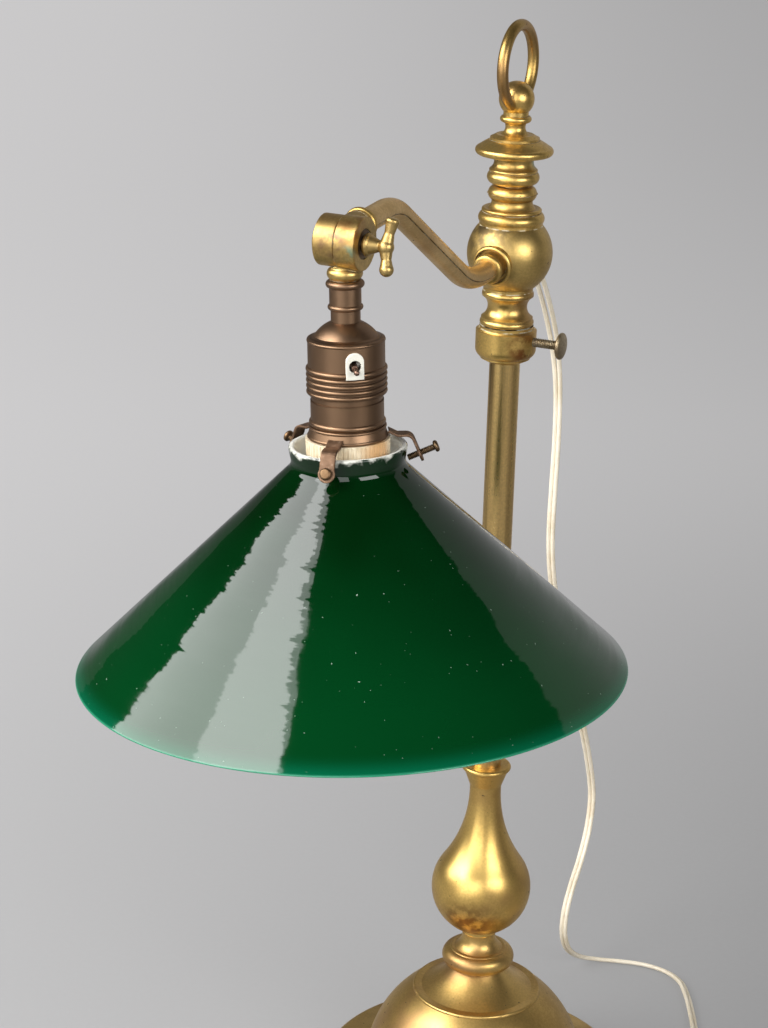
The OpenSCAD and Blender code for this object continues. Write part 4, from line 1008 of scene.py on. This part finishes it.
# %% Lights
GLASS_MIDDLE = Vector((0, -0.275, 0.385))
STAND_MIDDLE = Vector((0, 0, 0.3))
UMBRELLA_AWAY = 1.5
UMBRELLA_LIFT = 0.495
CORE_SHIFT = 0.56
SIDE_AWAY = 1.6
FRONT_AWAY = 2.4


def heading(azimuth, elevation):
    turn, lift = math.radians(azimuth), math.radians(elevation)
    return Vector((math.sin(turn) * math.cos(lift), -math.cos(turn) * math.cos(lift), math.sin(lift)))


def soft_light(name, shape, place, facing, across, width, height, glow):
    data = bpy.data.lights.new(name, "AREA")
    data.shape = shape
    data.size = width
    data.size_y = height
    data.energy = glow * math.pi * width * height
    side = (across - facing * across.dot(facing)).normalized()
    up = facing.cross(side)
    light = add_object(name, data)
    light.matrix_world = Matrix.Translation(place) @ Matrix((side, up, facing)).transposed().to_4x4()
    print(name, "energy", round(data.energy, 1))


umbrella_facing = heading(-72.5, 49.1)
umbrella_across = Vector((0.729, -0.493, 0.475))
umbrella_low = umbrella_facing.cross(umbrella_across)
umbrella_place = GLASS_MIDDLE + umbrella_facing * UMBRELLA_AWAY - umbrella_low * UMBRELLA_LIFT
core_place = umbrella_place + umbrella_across * CORE_SHIFT
side_facing = heading(60, 22)
side_place = STAND_MIDDLE + side_facing * SIDE_AWAY
front_facing = heading(-6, 20)
front_place = STAND_MIDDLE + front_facing * FRONT_AWAY
soft_light("umbrella", "ELLIPSE", umbrella_place, umbrella_facing, umbrella_across, 2.0, 1.2, 4.8)
soft_light("umbrella_core", "ELLIPSE", core_place, umbrella_facing, umbrella_across, 0.9, 1.2, 2.8)
soft_light("side_softbox", "RECTANGLE", side_place, side_facing, PICTURE_RIGHT, 0.95, 0.7, 6.0)
soft_light("front_fill", "RECTANGLE", front_place, front_facing, PICTURE_RIGHT, 2.6, 1.9, 2.6)

# %% [markdown]
# ## The room
# Polished metal is mostly a picture of the room round it. This room is dark overhead and on the left,
# which keeps the green deep, and paler low on the right. Where the camera looks at it straight, past the
# sweep, it has the tone that the far floor fades into. The world takes the same kinds of nodes as a
# material, so the room is a finish with another shader.

# %% Room
class Room(Finish):
    def __init__(self, name):
        self.material = bpy.data.worlds.new(name)
        self.material.use_nodes = True
        self.tree = self.material.node_tree
        self.shader = self.tree.nodes["Background"]
        self.place = self.node("ShaderNodeTexCoord", output="Generated")


room = Room("studio_room")
overhead = room.step(room.axis("Z"), 0.05, 0.45)
rightside = room.step(room.along(PICTURE_RIGHT), -0.4, 0.6)
low_colour = room.mix(rightside, (0.022, 0.022, 0.023), (0.15, 0.15, 0.153))
room_colour = room.mix(overhead, low_colour, (0.012, 0.012, 0.013))
looked_at = room.node("ShaderNodeLightPath", output="Is Camera Ray")
room_colour = room.mix(looked_at, room_colour, ROOM_TONE)
bpy.context.scene.world = room.set(color=room_colour, strength=1.0)

# %% [markdown]
# ## Sizes
# The dressed lamp should fill the same box as its solids. The scene is brought up to date at the end.

# %% Sizes, and done
bpy.context.view_layer.update()
